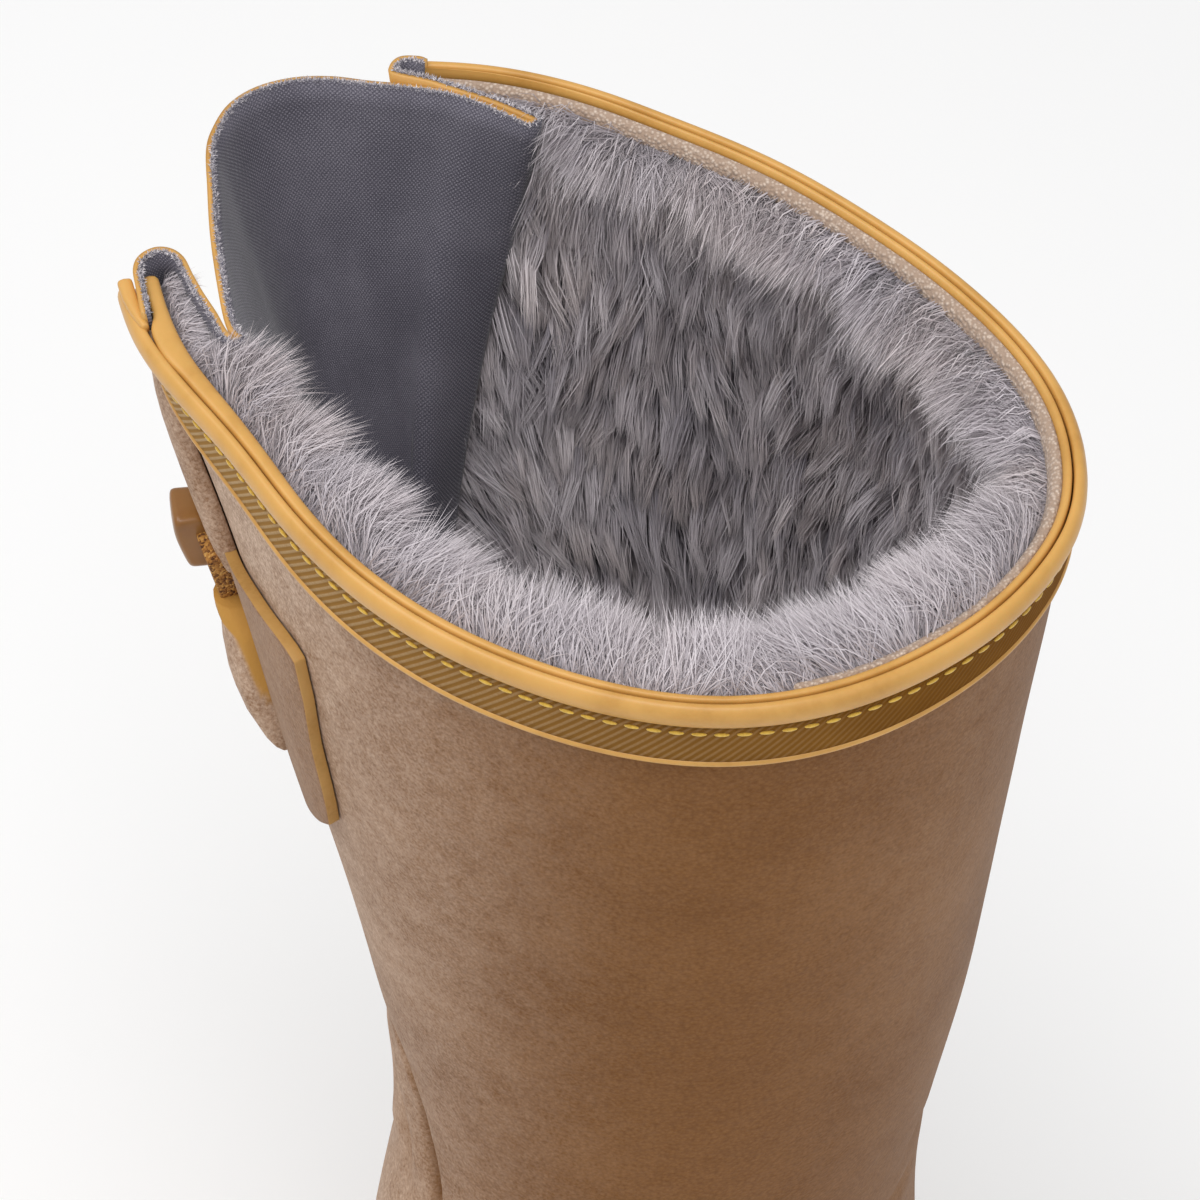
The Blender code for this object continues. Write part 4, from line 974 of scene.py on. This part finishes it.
bm = merged_copy("upper")
inward = [f for f in bm.faces if f.normal.x < -0.7]
keep_shell(bm, max(inward, key=lambda f: f.calc_center_median().x))
bm.normal_update()
for vert in bm.verts:
    wall = WALL_THICK - FOOT_THINNER * min(max((150 - vert.co.z / MM) / 60, 0.0), 1.0)
    vert.co -= vert.normal * wall * MM
knit = backing_knit()
backing = piece("fur_backing", bm, knit)
subsurf(backing, 1)
bake_modifiers(backing)
for vert in backing.data.vertices:
    if SET_BACK[0] * MM < vert.co.z < SET_BACK[1] * MM:
        apart = nearest(deepest, vert.co)[1]
        vert.co += vert.normal * BEHIND_CREASE * math.exp(-((apart / CREASE_CLEARANCE) ** 4)) * MM
lining = bmesh.new()
lining.from_mesh(backing.data)
bmesh.ops.triangulate(lining, faces=lining.faces)
lining.normal_update()
solidify(backing, BACKING_THICK * MM)
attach(backing, "root")

# The backing's turned edge shows as a beige knitted strip between the rim and the pile.
knit_edge = swept("knit_edge", np.linspace(150.0, collar_round - 2.0, 120), lambda along: (
    (-1.4, 353.8), (-2.0, 354.3), (-2.9, 354.2), (-3.6, 353.4), (-4.2, 350.8), (-3.4, 350.6),
    (-2.7, 352.2), (-1.6, 352.8)), knit)

places = np.array([v.co for v in lining.verts])
normals = np.array([v.normal for v in lining.verts])
corners = np.array([[v.index for v in f.verts] for f in lining.faces])
sizes = np.array([f.calc_area() for f in lining.faces])
lining.free()
around = np.full((len(places), 2), 100.0)
for k, place in enumerate(places):
    if place[2] > 262 * MM:
        path, run, _, _ = wall_line(round(place[2] / MM / LEVEL_STEP) * LEVEL_STEP * MM)
        near = int(np.argmin(np.hypot(path[:, 0] - place[0], path[:, 1] - place[1])))
        around[k] = run[near] / MM, (run[-1] - run[near]) / MM


def pile_density(place, reach):
    """Share of full density: little in the foot, most at the rim, none behind the gusset."""
    z = place[:, 2] / MM
    level = np.interp(z, (30, 60, 120, 180, 240, 300, 330, 345, 352),
                      (0.0, 0.06, 0.10, 0.30, 0.80, 1.0, 1.2, 1.9, 2.3))
    bare = (reach[:, 0] < np.interp(z, *BARE_FRONT)) & (z < 341)
    bare |= reach[:, 1] < np.interp(z, *BARE_REAR)
    return np.where(bare, 0.0, level)


def roots(count, rng):
    """Random places on the backing with their normals and reach from the slit's edges."""
    weight = sizes * pile_density(places[corners].mean(axis=1), around[corners].mean(axis=1))
    chosen = corners[rng.choice(len(corners), count, p=weight / weight.sum())]
    a, b = rng.random((2, count, 1))
    fold = a + b > 1
    a, b = np.where(fold, 1 - a, a), np.where(fold, 1 - b, b)
    shares = (1 - a - b, a, b)
    at, out, reach = (sum(table[chosen[:, k]] * w for k, w in enumerate(shares))
                      for table in (places, normals, around))
    return at, unit(out), reach


def upright(at):
    """How far the pile stands up: not at all in the shaft, fully at the rim."""
    return np.clip((at[:, 2] / MM - UPRIGHT_FROM) / (UPRIGHT_AT - UPRIGHT_FROM), 0, 1)[:, None]


STEPS = np.array([0.0, 0.5, 1.0])


def grown(at, out, yaw, lift, length):
    """Places along each strand from its root, combed down the wall."""
    rise = upright(at)
    down = unit(np.array([0.0, 0.0, -1.0]) - out * -out[:, 2:])
    across = np.cross(out, down)
    way = down * np.cos(yaw) + across * np.sin(yaw)
    first = np.radians(46) * lift + rise * np.radians(46)
    last = np.radians(2) * lift + rise * np.radians(34)
    points = [at]
    for begin, end in zip(STEPS, STEPS[1:]):
        angle = first + (last - first) * (begin + end) / 2
        step = way * np.cos(angle) + out * np.sin(angle)
        step += np.array([0.0, 0.0, 0.5]) * rise ** 2 * (1.3 - end)
        points.append(points[-1] + unit(step) * length * (end - begin) * (1 - 0.36 * rise) * MM)
    return np.stack(points, axis=1)


def strand_mesh(name, points, out, values, rng, width, material, start=0.0):
    """One mesh of tapered strands; values are per-strand numbers for the material.

    start is what the "along" attribute has at the roots."""
    count = len(points)
    run = np.gradient(points, axis=1)
    side = np.cross(run, out[:, None, :])
    side = side / np.maximum(np.linalg.norm(side, axis=2, keepdims=True), 1e-9)
    lifted = np.cross(side, run / np.maximum(np.linalg.norm(run, axis=2, keepdims=True), 1e-9))
    twist = rng.uniform(-0.9, 0.9, (count, 1, 1))
    side = side * np.cos(twist) + lifted * np.sin(twist)
    half = np.array([0.5, 0.42])[None, :, None] * width * MM * rng.uniform(0.6, 1.3, (count, 1, 1))
    left, right = points[:, :2] - side[:, :2] * half, points[:, :2] + side[:, :2] * half
    sides = np.stack([left, right], axis=2).reshape(count, 4, 3)
    verts = np.concatenate([sides, points[:, 2:]], axis=1)
    base = (np.arange(count) * 5)[:, None]
    quads, tips = (base + [0, 1, 3, 2]).reshape(-1), (base + [2, 3, 4]).reshape(-1)
    mesh = bpy.data.meshes.new(name)
    mesh.vertices.add(count * 5)
    mesh.vertices.foreach_set("co", verts.reshape(-1))
    mesh.loops.add(count * 7)
    mesh.loops.foreach_set("vertex_index", np.concatenate([quads, tips]))
    mesh.polygons.add(count * 2)
    mesh.polygons.foreach_set("loop_start", np.concatenate([np.arange(count) * 4,
                                                            count * 4 + np.arange(count) * 3]))
    mesh.update(calc_edges=True)
    mesh.shade_smooth()
    layer = mesh.attributes.new("along", "FLOAT", "POINT")
    layer.data.foreach_set("value", np.tile(start + (1 - start) * STEPS[[0, 0, 1, 1, 2]], count))
    for key, value in values.items():
        layer = mesh.attributes.new(key, "FLOAT", "POINT")
        layer.data.foreach_set("value", np.repeat(value, 5))
    mesh.materials.append(material)
    obj = placed(name, mesh)
    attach(obj, "root")
    return obj


def soft_noise(points, scale):
    """Smooth noise at each of the points."""
    return np.array([noise.noise(Vector(p) * scale) for p in points])


def nearest_locks(points):
    """Index of the lock that each point belongs to."""
    return np.array([locks.find(p)[1] for p in points])


rng = np.random.default_rng(11)
lock_count = int(sizes.sum() / MM ** 2 / LOCK_SPACING ** 2 * 1.5)
lock_at, lock_out, _ = roots(lock_count, rng)
lock_yaw = 0.60 * soft_noise(lock_at, 34.0) + 0.20 * rng.standard_normal(lock_count)
lock_lift = 1.15 + 0.7 * soft_noise(lock_at + 3.0, 75.0) + 0.28 * rng.standard_normal(lock_count)
lock_length = PILE_LENGTH * (0.95 + 0.20 * rng.standard_normal(lock_count))
lock_tone = 0.5 + 0.75 * soft_noise(lock_at + 7.0, 60.0) + 0.20 * rng.standard_normal(lock_count)
lock_warm = 0.35 + 1.3 * soft_noise(lock_at + 13.0, 70.0) + 0.2 * rng.standard_normal(lock_count)
lock_warm = np.clip(lock_warm, 0, 1)
lock_points = grown(lock_at, lock_out, lock_yaw[:, None], lock_lift[:, None], lock_length[:, None])
locks = kdtree.KDTree(lock_count)
for k, at in enumerate(lock_at):
    locks.insert(at, k)
locks.balance()
grey_pile = fur_material()
for part in range(FUR_PIECES):
    at, out, reach = roots(STRANDS_A_PIECE, rng)
    lock = nearest_locks(at)
    rise = upright(at)
    yaw = lock_yaw[lock] + (0.16 + 0.45 * rise[:, 0]) * rng.standard_normal(len(at))
    lift = lock_lift[lock] + (0.14 + 0.16 * rise[:, 0]) * rng.standard_normal(len(at))
    length = lock_length[lock] * (1.0 + 0.18 * rng.standard_normal(len(at)))
    beside_slit = np.clip(1 - np.minimum(reach[:, 0], reach[:, 1]) / 24.0, 0, 1) * rise[:, 0]
    length = np.clip(length * (1 - 0.75 * beside_slit), 1.5, 22.0)
    points = grown(at, out, yaw[:, None], lift[:, None], length[:, None])
    pull = rng.beta(5, 1.7, (len(at), 1)) * (1 - 0.72 * rise)
    for k, share in ((1, 0.50), (2, 0.96)):
        points[:, k] += (lock_points[lock, k] - points[:, k]) * share * pull
    # Strands deeper in the shaft, most between about 240 and 300 mm high, take lighter tones: painted
    # light against the shade inside the shaft.
    deep = np.interp(at[:, 2] / MM, (200, 240, 300, 335), (0.10, 0.30, 0.34, 0.10))
    tone = lock_tone[lock] + 0.14 * rng.standard_normal(len(at)) + 0.20 * rise[:, 0] + deep
    tone = np.clip(tone, 0, 1.3)
    wide = STRAND_WIDTH * np.interp(at[:, 2] / MM, (120, 250), (3.0, 1.0))[:, None, None]
    strand_mesh(f"fur_pile_{part + 1}", points, out,
                           {"tone": tone, "warm": lock_warm[lock]}, rng, wide, grey_pile)
# The fringe rises from the turned edge itself on the near side, behind it elsewhere, and
# falls inwards.
FRINGE_STRANDS, FRINGE_LENGTH, FRINGE_WIDTH = 60000, 10.5, 0.19
path, run, tangent, normal = wall_line(WALL_TOP)
along = (collar_round - 8.0) * rng.beta(0.9, 1.15, FRINGE_STRANDS)
first = np.interp(along, *zip(*LIP_WIDTH)) + 0.25 + np.interp(along, (185, 215), (0.0, 1.9))
last = np.interp(along, (335, 361), (6.6, 4.4))
inset = first + (last - first) * rng.random(FRINGE_STRANDS)
at, way, out = (np.stack([np.interp(along * MM, run, table[:, 0]),
                          np.interp(along * MM, run, table[:, 1]), 0 * along], axis=1)
                for table in (path, tangent, normal))
at = at - out * inset[:, None] * MM
at[:, 2] = (353.6 - 0.5 * inset) * MM
lock = nearest_locks(at)
size = FRINGE_LENGTH * np.interp(along, (2, 16, 26, 34, 200, 230, 335, 345, 351, 357, 361),
                                 (0.36, 0.46, 0.85, 1.0, 1.0, 0.85, 0.85, 0.6, 0.46, 0.32, 0.22))
size = size * (1 + 0.26 * rng.standard_normal(FRINGE_STRANDS) + 0.9 * soft_noise(at, 130.0))
size = np.clip(size, 0.8, 16.0)[:, None] * MM
stir = rng.standard_normal((3, FRINGE_STRANDS, 1)) * 0.30
swirl = (1.5 * soft_noise(at + 5.0, 70.0) + 1.0 * soft_noise(at + 9.0, 220.0))[:, None]
points = [at]
droop = np.interp(along, (190, 230, 325, 345), (0.0, 0.75, 0.75, 0.1))[:, None]
for inward, up, part in ((0.75, 0.62, 0.5), (1.0, -0.12, 0.5)):
    step = (-out * np.maximum(inward + stir[0], 0.25) + way * (swirl + stir[1])
            + np.array([0, 0, 1.0]) * (up - droop + 0.8 * stir[2]))
    points.append(points[-1] + unit(step) * size * part)
points = np.stack(points, axis=1)
tone = np.interp(along, (40, 100, 215, 270), (0.12, 0.32, 0.32, 0.12)) + 0.35 * lock_tone[lock]
tone = np.clip(tone + 0.12 * rng.standard_normal(FRINGE_STRANDS), 0, 1.5)
fringe = strand_mesh("fur_fringe", points, -out, {"tone": tone, "warm": 0.6 * lock_warm[lock]}, rng,
                     FRINGE_WIDTH, grey_pile, 0.45)

# The jersey's cut edge is fuzzed with short pale ends.
EDGE_ENDS, END_LENGTH, END_WIDTH = 5600, 0.62, 0.16
top_row = np.array([tuple(p) for p in gusset_rows[0]])
run = run_along(top_row)
held = rng.uniform(0, run[-1], EDGE_ENDS)
at = np.stack([np.interp(held, run, top_row[:, k]) for k in range(3)], axis=1)
way = np.stack([np.interp(held, run, np.gradient(top_row[:, k], run)) for k in range(3)], axis=1)
inner = unit(np.cross(way, (0.0, 0.0, 1.0)))
if inner[np.argmin(np.abs(held - run[-1] / 2))][0] < 0:
    inner = -inner
at = at + inner * rng.uniform(-0.1, 0.75, (EDGE_ENDS, 1)) * MM
lean = unit(rng.standard_normal((EDGE_ENDS, 3)) * (0.7, 0.7, 0.35) + (0.0, 0.0, 0.45))
curl = rng.standard_normal((EDGE_ENDS, 3)) * 0.35
points = np.stack([at, at + lean * END_LENGTH * 0.5 * MM,
                   at + (lean + curl * 0.5) * END_LENGTH * MM], axis=1)
fuzz, tree, shader = new_material("jersey_cut_edge", 0.9, Sheen_Weight=0.3)
tone = node(tree, "Attribute", attribute_name="tone").outputs["Fac"]
tree.links.new(shader.inputs["Base Color"], ramp(tree, tone, (0.0, (0.30, 0.28, 0.32, 1)),
                                                 (1.0, (0.80, 0.75, 0.77, 1))))
edge = strand_mesh("jersey_cut_edge", points, inner, {"tone": rng.random(EDGE_ENDS)}, rng,
                   END_WIDTH, fuzz)

# ---- Outsole and insole ---------------------------------------------------------------
# The sole is one moulding of ochre-brown rubber with lugs; the insole is a loose pad
# faced with short grey fleece. Both keep their solids and take these finishes.
SOLE_BROWN = (0.330, 0.180, 0.060, 1)
sole_rubber = ochre_rubber("sole_rubber_finish", colour=SOLE_BROWN, roughness=0.7, grime=1.2)
# The insole takes the backing's finish, with the pile's dark root colours as painted shade.
for name, material in (("outsole", sole_rubber), ("insole", backing_knit())):
    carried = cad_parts[name]
    carried.data.materials.clear()
    carried.data.materials.append(material)

# ---- Floor, light and camera ------------------------------------------------------------
# The boot stands on a plain pale floor in soft studio light, seen from above its toe side.
VIEW_AZIMUTH, VIEW_ELEVATION, VIEW_DISTANCE = 40, 50, 0.818
LOOK_AT = Vector((33.85, 30.8, 355.0)) * MM
bm = bmesh.new()
bmesh.ops.create_grid(bm, x_segments=4, y_segments=4, size=4.0)
pale, tree, shader = new_material("pale_floor", 0.9, Specular_IOR_Level=0.1)
place = node(tree, "TexCoord").outputs["Object"]
tree.links.new(shader.inputs["Base Color"], ramp(tree, grain_texture(tree, place, 3.0),
               (0.3, grey(0.945)), (0.7, grey(0.955))))
floor = piece("floor", bm, pale)


def aim(obj, target, azimuth, elevation, distance):
    """Puts a lamp or camera at an angle and distance from a place, and turns it there."""
    a, e = math.radians(azimuth), math.radians(elevation)
    way = Vector((math.sin(a) * math.cos(e), -math.cos(a) * math.cos(e), math.sin(e)))
    obj.location = target + way * distance
    obj.rotation_euler = (-way).to_track_quat("-Z", "Y").to_euler()


def area_light(name, azimuth, elevation, distance, size, power):
    """A soft square lamp that faces the collar."""
    light = bpy.data.lights.new(name, "AREA")
    light.size, light.energy = size, power
    aim(placed(name, light), Vector((0, 0, 0.3)), azimuth, elevation, distance)


area_light("key", 300, 62, 1.5, 0.9, 9.0)
area_light("fill", 80, 40, 1.6, 1.2, 3.5)
area_light("front", 20, 25, 1.6, 1.0, 1.0)
area_light("overhead", 35, 72, 1.5, 0.7, 8.0)
world = bpy.data.worlds.new("studio")
bpy.context.scene.world = world
world.use_nodes = True
sky = world.node_tree.nodes["Background"].inputs
sky["Color"].default_value, sky["Strength"].default_value = (1.0, 1.0, 1.0, 1), 0.56
bpy.context.scene.view_settings.view_transform = "Standard"

camera = placed("camera", bpy.data.cameras.new("camera"))
aim(camera, LOOK_AT, VIEW_AZIMUTH, VIEW_ELEVATION, VIEW_DISTANCE)
camera.data.lens, camera.data.sensor_width = 158.1, 36.0
camera.data.clip_start, camera.data.clip_end = 0.01, 10.0
bpy.context.scene.camera = camera
